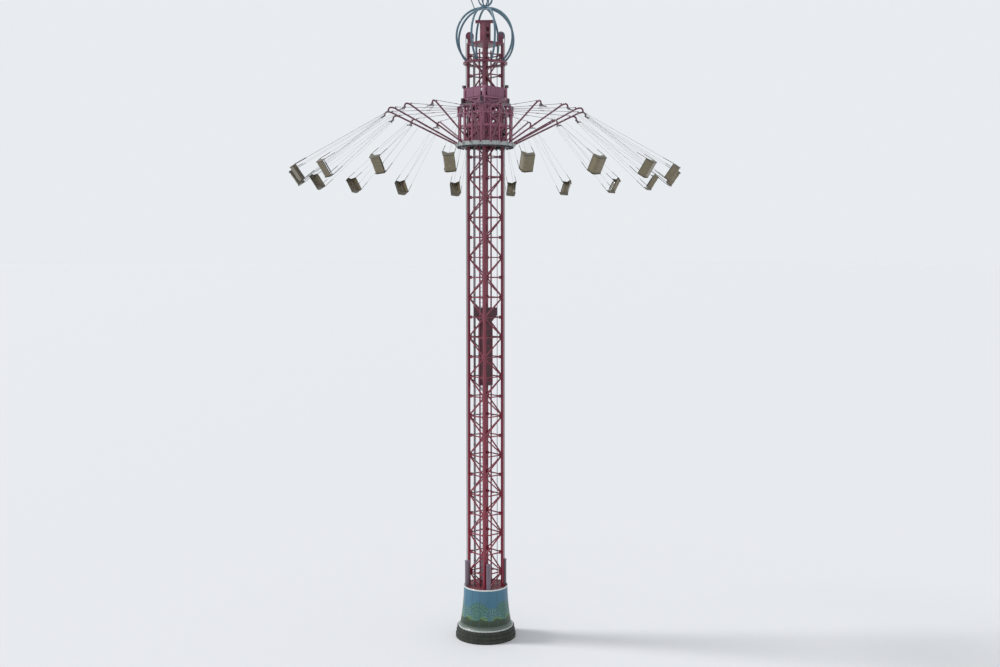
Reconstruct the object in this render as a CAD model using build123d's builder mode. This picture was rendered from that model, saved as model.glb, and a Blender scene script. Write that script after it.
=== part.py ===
from build123d import *
from math import acos, asin, atan2, cos, degrees, pi, radians, sin, sqrt
import os

os.makedirs("parts", exist_ok=True)

# Tower swing ride as a half-size model: every length is half of the real ride's, in millimetres.
# The origin is the middle of the foundation flange's underside, and +Z is up.

# Round pieces are drawn with this many flats, and their radius is the one across the flats
round_sides = 24
disc_sides = 12

# Base
plinth_radius = 1225
plinth_step = 30
plinth_courses = 3
plinth_course_height = 155
ring_radius = 1120
ring_top_radius = 1045
ring_height = 110
drum_foot_radius = 1040
drum_skirt_radius = 985
drum_skirt_height = 250
drum_waist_radius = 930
drum_waist_height = 850
drum_rim_radius = 890
drum_height = 1550
drum_wall = 30
deck_drop = 30
deck_thickness = 40

# Tower
tower_width = 960
leg_width = 90
bar_width = 42
bay_height = 800
bay_count = 27
lowest_level = 1875
leg_top = 23960

# Guide rails and ladder inside the tower
rail_offset = 298
rail_width = 44
rail_top = 23700
bracket_bays = 4
ladder_place = 115
ladder_width = 175
ladder_stile = 30
ladder_gap = 60
duct_place = -240
duct_width = 66

# Buffers
buffer_radius = 95
buffer_circle = 760
buffer_turn = 13
buffer_height = 1060
buffer_cap_radius = 105
buffer_cap_height = 60

# Tower head
bed_thickness = 90
head_block_width = 300
head_block_height = 780
head_beam_length = 780
head_beam_height = 110
head_beam_width = 120
sheave_radius = 162
sheave_width = 46
sheave_sides = 16
sheave_circle = 620
shaft_radius = 28
sheave_rise = 280
rope_radius = 12
rope_sides = 4
rope_pitch_radius = 150
groove_clearance = 0.3
cheek_thickness = 16
cheek_gap = 6
cheek_width = 170

# Crown
gallery_radius = 875
gallery_inner_radius = 640
gallery_thickness = 60
gallery_level = 23120
crown_radius = 1190
crown_centre = 24140
rib_radius = 46
rib_count = 8
rib_chords = 9
rib_sides = 4
collar_radius = 165
collar_height = 70
orb_radius = 290
orb_rib_radius = 30
orb_rib_count = 8
orb_rib_chords = 5
orb_rib_sides = 4
orb_latitude = 72
hub_height = 60
finial_height = 150
conductor_radius = 18
conductor_azimuth = 202.5
conductor_chord = 6
conductor_arm = 160
conductor_reach = 340
seat_gap = 0.3

# Carriage
ring_level = 19875
ring_clearance = 0.5
bearing_inner_radius = 762
bearing_outer_radius = 930
bearing_height = 170
bearing_flange = 30
bearing_flange_radius = 985
carriage_width = 1150
upright_width = 90
carriage_beam = 80
carriage_brace = 80
carriage_height = 2310
carriage_levels = (220, 780, 1340, 1900, 2270)
roller_bays = (0, 2)
rope_hole = 60
panel_height = 380
panel_thickness = 20
panel_width = 900
roller_radius = 45
roller_width = 50
roller_clearance = 0.5
roller_sides = 8
axle_width = 28
drive_width = 150
drive_height = 330
drive_rise = 30

# Rotor
rotor_ring_radius = 1143
rotor_ring_height = 150
arm_count = 18
post_circle = 1058
post_width = 56
mid_ring_level = 745
mid_ring_height = 70
mid_ring_width = 45
top_ring_level = 1240
top_ring_height = 315
top_ring_plate = 26
top_ring_radius = 1140
top_ring_inner_radius = 1010
arm_radius = 33
arm_sides = 6
root_length = 60
root_width = 76
root_rise = 95
arm_elbow_radius = 3790
arm_tip_level = 1375
arm_tip_radius = 4000
hook_drop = 150
pin_radius = 16
pin_sides = 8
tie_radius = 9
tie_root_level = 1470
tie_end_radius = 3690
lug_width = 30
lug_height = 90

# Swing chairs
swing_angle = 55.3
eye_clearance = 0.5
cheek_clearance = 6
yoke_plate = 12
yoke_width = 44
yoke_drop = 130
spreader_length = 300
chain_radius = 7
chain_sides = 3
chain_gap = 0.8
chain_spread = 12
seat_drop = 4400
seat_width = 650
seat_front = 205
seat_shell = 20
hip_depth = 60
knee_rise = 40
back_foot = 150
back_head = 225
side_height = 205
back_height = 265
lap_height = 130
lap_bar_radius = 14

# Counterweight
weight_width = 425
weight_height = 2515
weight_level = 10320
weight_chamfer = 20
crosshead_half = 470
crosshead_rise = 330
crosshead_height = 300
weight_sheave_radius = 90
weight_sheave_width = 60
weight_sheave_circle = 395
weight_hub_radius = 24
rope_gap = 40
shoe_clearance = 0.5
shoe_length = 120
shoe_width = 60

tower_corners = ((-1, -1), (1, -1), (1, 1), (-1, 1))
rope_corners = ((1, -1), (-1, 1))
arm_angles = [number * 360 / arm_count for number in range(arm_count)]

plinth_height = plinth_courses * plinth_course_height
drum_level = plinth_height + ring_height
rim_level = drum_level + drum_height
deck_level = rim_level - deck_drop
half_width = tower_width / 2
leg_outside = half_width + leg_width / 2
leg_inside = half_width - leg_width / 2
rotor_sides = 2 * arm_count
levels = [lowest_level + bay * bay_height for bay in range(bay_count + 1)]
rope_outside = sheave_circle + rope_pitch_radius
rope_inside = sheave_circle - rope_pitch_radius


def add_bar(start, end, width, sides=4):
    """Straight bar of a few sides between two points, added to the piece in hand."""
    run = Vector(*end) - Vector(*start)
    with BuildSketch(Plane(origin=start, z_dir=run)) as section:
        if sides == 4:
            Rectangle(width, width)
        else:
            RegularPolygon(width / 2, sides)
    extrude(section.sketch, amount=run.length)


def add_disc(centre, axis, radius, thickness, sides=disc_sides):
    """Disc or pin, from a point along an axis, added to the piece in hand."""
    with BuildSketch(Plane(origin=centre, z_dir=axis)) as section:
        RegularPolygon(radius, sides)
    extrude(section.sketch, amount=thickness)


def add_ring(level, height, radius, bore=0, sides=round_sides):
    """Flat round plate or ring of many flats, added to the piece in hand."""
    with BuildSketch(Plane.XY.offset(level)) as outline:
        RegularPolygon(radius, sides, major_radius=False, rotation=180 / sides)
        if bore:
            RegularPolygon(bore, sides, major_radius=False, rotation=180 / sides, mode=Mode.SUBTRACT)
    extrude(outline.sketch, amount=height)


def add_cone(level, height, foot_radius, head_radius, mode=Mode.ADD):
    """Tapering plug of many flats, added to or cut from the piece in hand."""
    with BuildSketch(Plane.XY.offset(level)) as outline:
        RegularPolygon(foot_radius, round_sides, major_radius=False, rotation=180 / round_sides)
    taper = degrees(atan2(foot_radius - head_radius, height))
    extrude(outline.sketch, amount=height, taper=taper, mode=mode)


def radial_plane(angle):
    """Upright plane through the tower's axis: X runs outwards and Y runs up."""
    outwards = Vector(cos(radians(angle)), sin(radians(angle)), 0)
    return Plane(origin=(0, 0, 0), x_dir=outwards, z_dir=outwards.cross(Vector(0, 0, 1)))


def corner_point(corner, radius, level):
    """Point over a corner's diagonal, at a radius from the tower's axis."""
    return (corner[0] * radius / sqrt(2), corner[1] * radius / sqrt(2), level)


def cut_rope_holes(level, height):
    """Square passages for the outer ropes, cut from the piece in hand."""
    with BuildSketch(Plane.XY.offset(level)) as holes:
        with Locations(*[corner_point(corner, rope_outside, 0)[:2] for corner in rope_corners]):
            Rectangle(rope_hole, rope_hole)
    extrude(holes.sketch, amount=height, mode=Mode.SUBTRACT)


# Base: a stepped plinth, a pale ring and a flared drum whose lid carries the buffers.
with BuildPart() as base_plinth:
    for course in range(plinth_courses):
        course_level = course * plinth_course_height
        add_ring(course_level, plinth_course_height, plinth_radius - course * plinth_step)
base_plinth.part.label = "base_plinth"
export_step(base_plinth.part, "parts/base_plinth.step")

with BuildPart() as base_ring:
    add_cone(plinth_height, ring_height, ring_radius, ring_top_radius)
base_ring.part.label = "base_ring"
export_step(base_ring.part, "parts/base_ring.step")

drum_outline = (
    (drum_foot_radius, drum_level),
    (drum_skirt_radius, drum_level + drum_skirt_height),
    (drum_waist_radius, drum_level + drum_waist_height),
    (drum_rim_radius, rim_level),
)
with BuildPart() as base_drum:
    for inset, mode in ((0, Mode.ADD), (drum_wall, Mode.SUBTRACT)):
        for (low_radius, low), (high_radius, high) in zip(drum_outline[:-1], drum_outline[1:]):
            add_cone(low, high - low, low_radius - inset, high_radius - inset, mode)
base_drum.part.label = "base_drum"
export_step(base_drum.part, "parts/base_drum.step")

deck_radius = drum_rim_radius - drum_wall - seat_gap
with BuildPart() as base_deck:
    add_ring(deck_level - deck_thickness, deck_thickness, deck_radius)
    with BuildSketch(Plane.XY.offset(deck_level - deck_thickness)) as deck_holes:
        with GridLocations(tower_width, tower_width, 2, 2):
            Rectangle(leg_width + 2 * seat_gap, leg_width + 2 * seat_gap)
        with Locations(*[corner_point(corner, rope_inside, 0)[:2] for corner in rope_corners]):
            Rectangle(rope_hole, rope_hole)
    extrude(deck_holes.sketch, amount=deck_thickness, mode=Mode.SUBTRACT)
base_deck.part.label = "base_deck"
export_step(base_deck.part, "parts/base_deck.step")

with BuildPart() as buffers:
    for turn in range(4):
        angle = radians(45 + buffer_turn + 90 * turn)
        foot = (buffer_circle * cos(angle), buffer_circle * sin(angle), deck_level)
        cap = (foot[0], foot[1], deck_level + buffer_height - buffer_cap_height)
        add_disc(foot, (0, 0, 1), buffer_radius, buffer_height - buffer_cap_height)
        add_disc(cap, (0, 0, 1), buffer_cap_radius, buffer_cap_height)
buffers.part.label = "buffers"
export_step(buffers.part, "parts/buffers.step")

# Tower: four square legs, joined on each side by a lattice of level and zigzag bars.
with BuildPart() as tower_legs:
    with BuildSketch(Plane.XY.offset(drum_level)):
        with GridLocations(tower_width, tower_width, 2, 2):
            Rectangle(leg_width, leg_width)
    extrude(amount=leg_top - drum_level)
tower_legs.part.label = "tower_legs"
export_step(tower_legs.part, "parts/tower_legs.step")


def build_lattice_side(side, name):
    """One side's bracing. The zigzags of two neighbouring sides meet on the same levels of a leg."""
    outwards = Vector(0, -1, 0).rotate(Axis.Z, 90 * side)
    along = Vector(1, 0, 0).rotate(Axis.Z, 90 * side)
    side_plane = Plane(origin=outwards * half_width, x_dir=along, z_dir=outwards)
    start_hand = 1 if side % 2 == 0 else -1
    lattice_foot = deck_level + seat_gap
    lattice_top = levels[-1] + bar_width / 2
    with BuildPart() as lattice_side:
        with BuildSketch(side_plane):
            for bay, level in enumerate(levels):
                if level > deck_level:
                    with BuildLine():
                        Line((-half_width, level), (half_width, level))
                    trace(line_width=bar_width)
                if bay == bay_count:
                    continue
                hand = start_hand if bay % 2 == 0 else -start_hand
                with BuildLine():
                    Line((-hand * half_width, level), (hand * half_width, level + bay_height))
                trace(line_width=bar_width)
            with Locations((0, (lattice_foot + lattice_top) / 2)):
                Rectangle(2 * leg_inside, lattice_top - lattice_foot, mode=Mode.INTERSECT)
        extrude(amount=bar_width / 2, both=True)
    lattice_side.part.label = name
    export_step(lattice_side.part, f"parts/{name}.step")


for side, name in enumerate(("lattice_front", "lattice_right", "lattice_back", "lattice_left")):
    build_lattice_side(side, name)

# Guide rails for the counterweight, held off the side bars by brackets on every fourth level.
bracket_levels = levels[1::bracket_bays]
with BuildPart() as guide_rails:
    for hand in (-1, 1):
        rail_x = hand * rail_offset
        add_bar((rail_x, 0, deck_level), (rail_x, 0, rail_top), rail_width)
        for level in bracket_levels:
            bracket_end = (hand * (half_width - bar_width / 2), 0, level)
            add_bar((rail_x, 0, level), bracket_end, rail_width)
guide_rails.part.label = "guide_rails"
export_step(guide_rails.part, "parts/guide_rails.step")

# Ladder and cable duct on the back side's bars: two stiles with rungs, and one square duct.
side_face = half_width - bar_width / 2
ladder_y = side_face - ladder_gap
with BuildPart() as ladder:
    for hand in (-1, 1):
        stile_x = ladder_place + hand * ladder_width / 2
        add_bar((stile_x, ladder_y, deck_level), (stile_x, ladder_y, levels[-1]), ladder_stile)
        for level in bracket_levels:
            add_bar((stile_x, ladder_y, level), (stile_x, side_face, level), ladder_stile)
    for level in bracket_levels:
        rung_start = (ladder_place - ladder_width / 2, ladder_y, level)
        add_bar(rung_start, (ladder_place + ladder_width / 2, ladder_y, level), ladder_stile)
ladder.part.label = "ladder"
export_step(ladder.part, "parts/ladder.step")

with BuildPart() as cable_duct:
    add_bar((duct_place, ladder_y, deck_level), (duct_place, ladder_y, levels[-1]), duct_width)
    for level in bracket_levels:
        add_bar((duct_place, ladder_y, level), (duct_place, side_face, level), ladder_stile)
cable_duct.part.label = "cable_duct"
export_step(cable_duct.part, "parts/cable_duct.step")

# Tower head: a bed between the leg tops, a block and beam on it, and two rope sheaves.
bed_level = leg_top - bed_thickness
with BuildPart() as head_bed:
    with BuildSketch(Plane.XY.offset(bed_level)):
        Rectangle(2 * leg_outside, 2 * leg_outside)
        with GridLocations(tower_width, tower_width, 2, 2):
            Rectangle(leg_width, leg_width, mode=Mode.SUBTRACT)
        with Locations(*[corner_point(corner, rope_inside, 0)[:2] for corner in rope_corners]):
            Rectangle(rope_hole, rope_hole, mode=Mode.SUBTRACT)
    extrude(amount=bed_thickness)
head_bed.part.label = "head_bed"
export_step(head_bed.part, "parts/head_bed.step")

with BuildPart() as head_block:
    with BuildSketch(Plane.XY.offset(leg_top)):
        Rectangle(head_block_width, head_block_width)
    extrude(amount=head_block_height)
    window_plane = Plane.XZ.offset(-head_block_width)
    with BuildSketch(window_plane):
        with GridLocations(0, head_block_height / 3, 1, 2):
            with Locations((0, leg_top + head_block_height / 2)):
                Rectangle(head_block_width / 2, head_block_height / 5)
    extrude(amount=2 * head_block_width, mode=Mode.SUBTRACT)
    beam_plane = Plane(
        origin=(0, 0, leg_top + head_block_height + head_beam_height / 2),
        x_dir=(0, 0, 1),
        z_dir=(1, -1, 0),
    )
    with BuildSketch(beam_plane):
        Rectangle(head_beam_height, head_beam_width)
    extrude(amount=head_beam_length / 2, both=True)
head_block.part.label = "head_block"
export_step(head_block.part, "parts/head_block.step")

sheave_level = leg_top + sheave_rise
with BuildPart() as head_sheaves:
    for corner in rope_corners:
        across = Vector(-corner[1], corner[0], 0).normalized()
        middle = Vector(*corner_point(corner, sheave_circle, sheave_level))
        groove_radius = rope_pitch_radius - rope_radius - groove_clearance
        groove_width = 2 * (rope_radius + groove_clearance)
        flange_width = (sheave_width - groove_width) / 2
        edge = middle - across * (sheave_width / 2)
        add_disc(edge, across, groove_radius, sheave_width, sheave_sides)
        add_disc(edge, across, sheave_radius, flange_width, sheave_sides)
        far_flange = edge + across * (sheave_width - flange_width)
        add_disc(far_flange, across, sheave_radius, flange_width, sheave_sides)
        shaft_half = sheave_width / 2 + cheek_gap
        add_disc(middle - across * shaft_half, across, shaft_radius, 2 * shaft_half)
head_sheaves.part.label = "head_sheaves"
export_step(head_sheaves.part, "parts/head_sheaves.step")

with BuildPart() as sheave_cheeks:
    for corner in rope_corners:
        across = Vector(-corner[1], corner[0], 0).normalized()
        outwards = Vector(corner[0], corner[1], 0).normalized()
        for hand in (-1, 1):
            cheek_start = hand * (sheave_width / 2 + cheek_gap)
            cheek_plane = Plane(
                origin=across * cheek_start, x_dir=outwards * -hand, z_dir=across * hand
            )
            with BuildSketch(cheek_plane):
                with Locations((-hand * sheave_circle, (leg_top + sheave_level + sheave_radius / 2) / 2)):
                    Rectangle(cheek_width, sheave_rise + sheave_radius / 2)
            extrude(amount=cheek_thickness)
sheave_cheeks.part.label = "sheave_cheeks"
export_step(sheave_cheeks.part, "parts/sheave_cheeks.step")

# Hoist ropes: each is one fixed loop over its sheave, outside the leg and inside the tower.
with BuildPart() as hoist_ropes:
    for corner in rope_corners:
        plane = radial_plane(degrees(atan2(corner[1], corner[0])))
        with BuildLine(plane):
            down = Line((rope_outside, deck_level), (rope_outside, sheave_level))
            over = ThreePointArc(
                down @ 1, (sheave_circle, sheave_level + rope_pitch_radius), (rope_inside, sheave_level)
            )
            Line(over @ 1, (rope_inside, drum_level))
        with BuildSketch(Plane(origin=down @ 0, x_dir=plane.x_dir, z_dir=(0, 0, 1))):
            RegularPolygon(rope_radius, rope_sides)
        sweep()
hoist_ropes.part.label = "hoist_ropes"
export_step(hoist_ropes.part, "parts/hoist_ropes.step")

# Crown: a round gallery, meridian ribs that meet in a collar, and a small orb with a finial.
with BuildPart() as head_gallery:
    add_ring(gallery_level, gallery_thickness, gallery_radius, gallery_inner_radius)
    with BuildSketch(Plane.XY.offset(gallery_level)) as leg_holes:
        with GridLocations(tower_width, tower_width, 2, 2):
            Rectangle(leg_width, leg_width)
    extrude(leg_holes.sketch, amount=gallery_thickness, mode=Mode.SUBTRACT)
    cut_rope_holes(gallery_level, gallery_thickness)
head_gallery.part.label = "head_gallery"
export_step(head_gallery.part, "parts/head_gallery.step")

gallery_top = gallery_level + gallery_thickness


def add_meridian(angle, centre_level, radius, tube, start, finish, chords, sides):
    """Rib along a sphere, in chords from one latitude to another, added to the piece in hand."""
    latitudes = [radians(start + (finish - start) * chord / chords) for chord in range(chords + 1)]
    with BuildLine(radial_plane(angle)) as route:
        Polyline(*[(radius * cos(turn), centre_level + radius * sin(turn)) for turn in latitudes])
    crosswise = radial_plane(angle).z_dir
    with BuildSketch(Plane(origin=route.line @ 0, x_dir=crosswise, z_dir=route.line % 0)) as section:
        RegularPolygon(tube, sides, rotation=180 / sides)
    sweep(section.sketch, path=route.line, transition=Transition.RIGHT)


gallery_drop = crown_centre - gallery_top
foot_latitude = -degrees(asin((gallery_drop + rib_radius) / crown_radius))
pole_latitude = degrees(acos((collar_radius - 2 * rib_radius) / crown_radius))
collar_level = crown_centre + crown_radius - collar_height / 2
with BuildPart() as crown_ribs:
    for number in range(rib_count):
        angle = (number + 0.5) * 360 / rib_count
        add_meridian(
            angle, crown_centre, crown_radius, rib_radius, foot_latitude, pole_latitude,
            rib_chords, rib_sides,
        )
    split(bisect_by=Plane.XY.offset(gallery_top), keep=Keep.TOP)
    with BuildSketch(Plane.XY.offset(collar_level - collar_height)) as seat:
        RegularPolygon(
            collar_radius + seat_gap, round_sides, major_radius=False, rotation=180 / round_sides
        )
    extrude(seat.sketch, amount=3 * collar_height, mode=Mode.SUBTRACT)
    add_ring(collar_level, collar_height, collar_radius)
crown_ribs.part.label = "crown_ribs"
export_step(crown_ribs.part, "parts/crown_ribs.step")

orb_foot = collar_level + collar_height
orb_centre = orb_foot + orb_radius + orb_rib_radius
hub_radius = orb_rib_radius + orb_radius * cos(radians(orb_latitude))
with BuildPart() as crown_orb:
    for number in range(orb_rib_count):
        angle = (number + 0.5) * 360 / orb_rib_count
        add_meridian(
            angle, orb_centre, orb_radius, orb_rib_radius, -orb_latitude, orb_latitude,
            orb_rib_chords, orb_rib_sides,
        )
    orb_head = 2 * orb_centre - orb_foot
    add_disc((0, 0, orb_foot), (0, 0, 1), hub_radius, hub_height)
    add_disc((0, 0, orb_head - hub_height), (0, 0, 1), hub_radius, hub_height)
    add_disc((0, 0, orb_head), (0, 0, 1), orb_rib_radius, finial_height)
crown_orb.part.label = "crown_orb"
export_step(crown_orb.part, "parts/crown_orb.step")

# Lightning conductor: a bent tube that leaves one rib at right angles and then stands upright.
with BuildPart() as lightning_conductor:
    chord_turn = (pole_latitude - foot_latitude) / rib_chords
    leave_turn = radians(foot_latitude + (conductor_chord + 0.5) * chord_turn)
    rib_face = crown_radius * cos(radians(chord_turn / 2)) + rib_radius * cos(pi / rib_sides) + seat_gap
    leave = Vector(cos(leave_turn), sin(leave_turn))
    rib_point = Vector(0, crown_centre) + leave * rib_face
    bend = rib_point + leave * conductor_arm
    with BuildLine(radial_plane(conductor_azimuth)) as route:
        Polyline(
            (rib_point.X, rib_point.Y),
            (bend.X, bend.Y),
            (bend.X + conductor_reach, bend.Y + conductor_reach),
            (bend.X + conductor_reach, orb_centre + orb_radius),
        )
    with BuildSketch(Plane(origin=route.line @ 0, z_dir=route.line % 0)) as section:
        RegularPolygon(conductor_radius, 8)
    sweep(section.sketch, path=route.line, transition=Transition.RIGHT)
lightning_conductor.part.label = "lightning_conductor"
export_step(lightning_conductor.part, "parts/lightning_conductor.step")

# Carriage: a square frame that climbs the legs on rollers, and the fixed half of the slewing ring.
half_carriage = carriage_width / 2
frame_foot = ring_level + bearing_height
frame_top = ring_level + carriage_height
flange_level = ring_level - ring_clearance - bearing_flange
bore_radius = bearing_outer_radius + ring_clearance
with BuildPart() as slewing_bearing:
    with BuildSketch(Plane.XY.offset(ring_level - ring_clearance)) as bearing_body:
        RegularPolygon(bearing_outer_radius, rotor_sides)
        RegularPolygon(bearing_inner_radius, round_sides, major_radius=False, mode=Mode.SUBTRACT)
    extrude(bearing_body.sketch, amount=bearing_height + ring_clearance)
    with BuildSketch(Plane.XY.offset(flange_level)) as bearing_foot:
        RegularPolygon(bearing_flange_radius, rotor_sides)
        RegularPolygon(bearing_inner_radius, round_sides, major_radius=False, mode=Mode.SUBTRACT)
    extrude(bearing_foot.sketch, amount=bearing_flange)
    cut_rope_holes(flange_level, frame_foot - flange_level)
slewing_bearing.part.label = "slewing_bearing"
export_step(slewing_bearing.part, "parts/slewing_bearing.step")

clear_half = half_carriage - upright_width / 2
with BuildPart() as carriage_frame:
    with BuildSketch(Plane.XY.offset(frame_foot)):
        with GridLocations(carriage_width, carriage_width, 2, 2):
            Rectangle(upright_width, upright_width)
    extrude(amount=frame_top - frame_foot)
    for side in range(4):
        outwards = Vector(0, -1, 0).rotate(Axis.Z, 90 * side)
        along = Vector(1, 0, 0).rotate(Axis.Z, 90 * side)
        side_plane = Plane(origin=outwards * half_carriage, x_dir=along, z_dir=outwards)
        with BuildSketch(side_plane) as side_frame:
            for level in carriage_levels:
                with Locations((0, ring_level + level)):
                    Rectangle(2 * clear_half, carriage_beam)
            for low, high in zip(carriage_levels[:-2], carriage_levels[1:-1]):
                hand = 1 if low in carriage_levels[::2] else -1
                with BuildLine():
                    Line((-hand * clear_half, ring_level + low), (hand * clear_half, ring_level + high))
                trace(line_width=carriage_brace)
            with Locations((0, ring_level + (carriage_levels[0] + carriage_levels[-1]) / 2)):
                Rectangle(
                    2 * clear_half,
                    carriage_levels[-1] - carriage_levels[0] + carriage_beam,
                    mode=Mode.INTERSECT,
                )
        extrude(side_frame.sketch, amount=carriage_beam / 2, both=True)
    cut_rope_holes(frame_foot, frame_top - frame_foot)
carriage_frame.part.label = "carriage_frame"
export_step(carriage_frame.part, "parts/carriage_frame.step")

with BuildPart() as collar_panels:
    for side in range(4):
        outwards = Vector(0, -1, 0).rotate(Axis.Z, 90 * side)
        along = Vector(1, 0, 0).rotate(Axis.Z, 90 * side)
        face = outwards * (half_carriage + carriage_beam / 2)
        with BuildSketch(Plane(origin=face, x_dir=along, z_dir=outwards)) as panel:
            with Locations((0, frame_top - panel_height / 2)):
                Rectangle(panel_width, panel_height)
        extrude(panel.sketch, amount=panel_thickness)
collar_panels.part.label = "collar_panels"
export_step(collar_panels.part, "parts/collar_panels.step")

# Rollers run on both outer faces of each leg, half-way up two of the carriage's bays.
roller_centre = leg_outside + roller_radius + roller_clearance
with BuildPart() as carriage_rollers:
    for bay in roller_bays:
        level = ring_level + (carriage_levels[bay] + carriage_levels[bay + 1]) / 2
        for x, y in tower_corners:
            for axis, start, end in (
                (
                    (x, 0, 0),
                    (x * (half_width - roller_width / 2), y * roller_centre, level),
                    (x * clear_half, y * roller_centre, level),
                ),
                (
                    (0, y, 0),
                    (x * roller_centre, y * (half_width - roller_width / 2), level),
                    (x * roller_centre, y * clear_half, level),
                ),
            ):
                add_disc(start, axis, roller_radius, roller_width, roller_sides)
                add_bar(start, end, axle_width)
carriage_rollers.part.label = "carriage_rollers"
export_step(carriage_rollers.part, "parts/carriage_rollers.step")

drive_level = ring_level + top_ring_level + top_ring_height + drive_rise
with BuildPart() as drive_units:
    for x, y in tower_corners:
        upright_x = x * (half_carriage + upright_width / 2 + drive_width / 2)
        with BuildSketch(Plane.XY.offset(drive_level)) as drive:
            with Locations((upright_x, y * half_carriage)):
                Rectangle(drive_width, drive_width)
        extrude(drive.sketch, amount=drive_height)
drive_units.part.label = "drive_units"
export_step(drive_units.part, "parts/drive_units.step")

# Rotor: a ring that turns on the bearing, eighteen posts, two upper rings, the arms and their ties.
with BuildPart() as rotor_ring:
    add_ring(ring_level, rotor_ring_height, rotor_ring_radius, bore_radius, rotor_sides)
rotor_ring.part.label = "rotor_ring"
export_step(rotor_ring.part, "parts/rotor_ring.step")

ring_top = ring_level + rotor_ring_height
top_ring_foot = ring_level + top_ring_level
with BuildPart() as rotor_posts:
    with BuildSketch(Plane.XY.offset(ring_top)):
        with PolarLocations(post_circle, arm_count):
            Rectangle(post_width, post_width)
    extrude(amount=top_ring_foot - ring_top)
rotor_posts.part.label = "rotor_posts"
export_step(rotor_posts.part, "parts/rotor_posts.step")

mid_ring_radius = post_circle - post_width / 2 - seat_gap
with BuildPart() as rotor_mid_ring:
    add_ring(
        ring_level + mid_ring_level, mid_ring_height,
        mid_ring_radius, mid_ring_radius - mid_ring_width, arm_count,
    )
rotor_mid_ring.part.label = "rotor_mid_ring"
export_step(rotor_mid_ring.part, "parts/rotor_mid_ring.step")

with BuildPart() as rotor_top_ring:
    with BuildSketch(Plane.XY.offset(top_ring_foot)):
        with PolarLocations(post_circle, arm_count):
            Rectangle(post_width, post_width)
    extrude(amount=top_ring_height)
    for plate_level in (top_ring_foot, top_ring_foot + top_ring_height - top_ring_plate):
        add_ring(plate_level, top_ring_plate, top_ring_radius, top_ring_inner_radius, arm_count)
rotor_top_ring.part.label = "rotor_top_ring"
export_step(rotor_top_ring.part, "parts/rotor_top_ring.step")

post_face = post_circle + post_width / 2
root_face = rotor_ring_radius + seat_gap
hinge_level = ring_level + arm_tip_level - hook_drop
boom_start = (root_face + root_length / 2, ring_level + root_rise)
boom_elbow = (arm_elbow_radius, ring_level + arm_tip_level)
boom_rise = (boom_elbow[1] - boom_start[1]) / (boom_elbow[0] - boom_start[0])
lug_level = boom_start[1] + boom_rise * (tie_end_radius - boom_start[0])
with BuildPart() as arm_pattern:
    with BuildLine(Plane.XZ) as boom_route:
        Polyline(
            boom_start,
            boom_elbow,
            (arm_tip_radius, ring_level + arm_tip_level),
            (arm_tip_radius, hinge_level - arm_radius),
        )
    with BuildSketch(Plane(origin=boom_route.line @ 0, z_dir=boom_route.line % 0)) as section:
        RegularPolygon(arm_radius, arm_sides, rotation=180 / arm_sides)
    sweep(section.sketch, path=boom_route.line, transition=Transition.RIGHT)
    with BuildSketch(Plane.XY.offset(ring_level)) as root_block:
        with Locations((root_face + root_length / 2, 0)):
            Rectangle(root_length, root_width)
    extrude(root_block.sketch, amount=rotor_ring_height)
    with BuildSketch(Plane.XZ) as lug:
        with Locations((tie_end_radius + lug_width / 2, lug_level + lug_height / 2)):
            Rectangle(lug_width, lug_height)
    extrude(lug.sketch, amount=lug_width / 2, both=True)
    with BuildSketch(Plane.XZ) as bore:
        with Locations((arm_tip_radius, hinge_level)):
            RegularPolygon(pin_radius + eye_clearance, pin_sides, major_radius=False)
    extrude(bore.sketch, amount=2 * arm_radius, both=True, mode=Mode.SUBTRACT)

with BuildPart() as arms:
    with PolarLocations(0, arm_count):
        add(arm_pattern.part)
arms.part.label = "arms"
export_step(arms.part, "parts/arms.step")

with BuildPart() as tie_pattern:
    tie_start = (post_face + seat_gap, 0, ring_level + tie_root_level)
    tie_end = (tie_end_radius - seat_gap, 0, lug_level + lug_height - 2 * tie_radius)
    add_bar(tie_start, tie_end, 2 * tie_radius)

with BuildPart() as tie_rods:
    with PolarLocations(0, arm_count):
        add(tie_pattern.part)
tie_rods.part.label = "tie_rods"
export_step(tie_rods.part, "parts/tie_rods.step")

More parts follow.
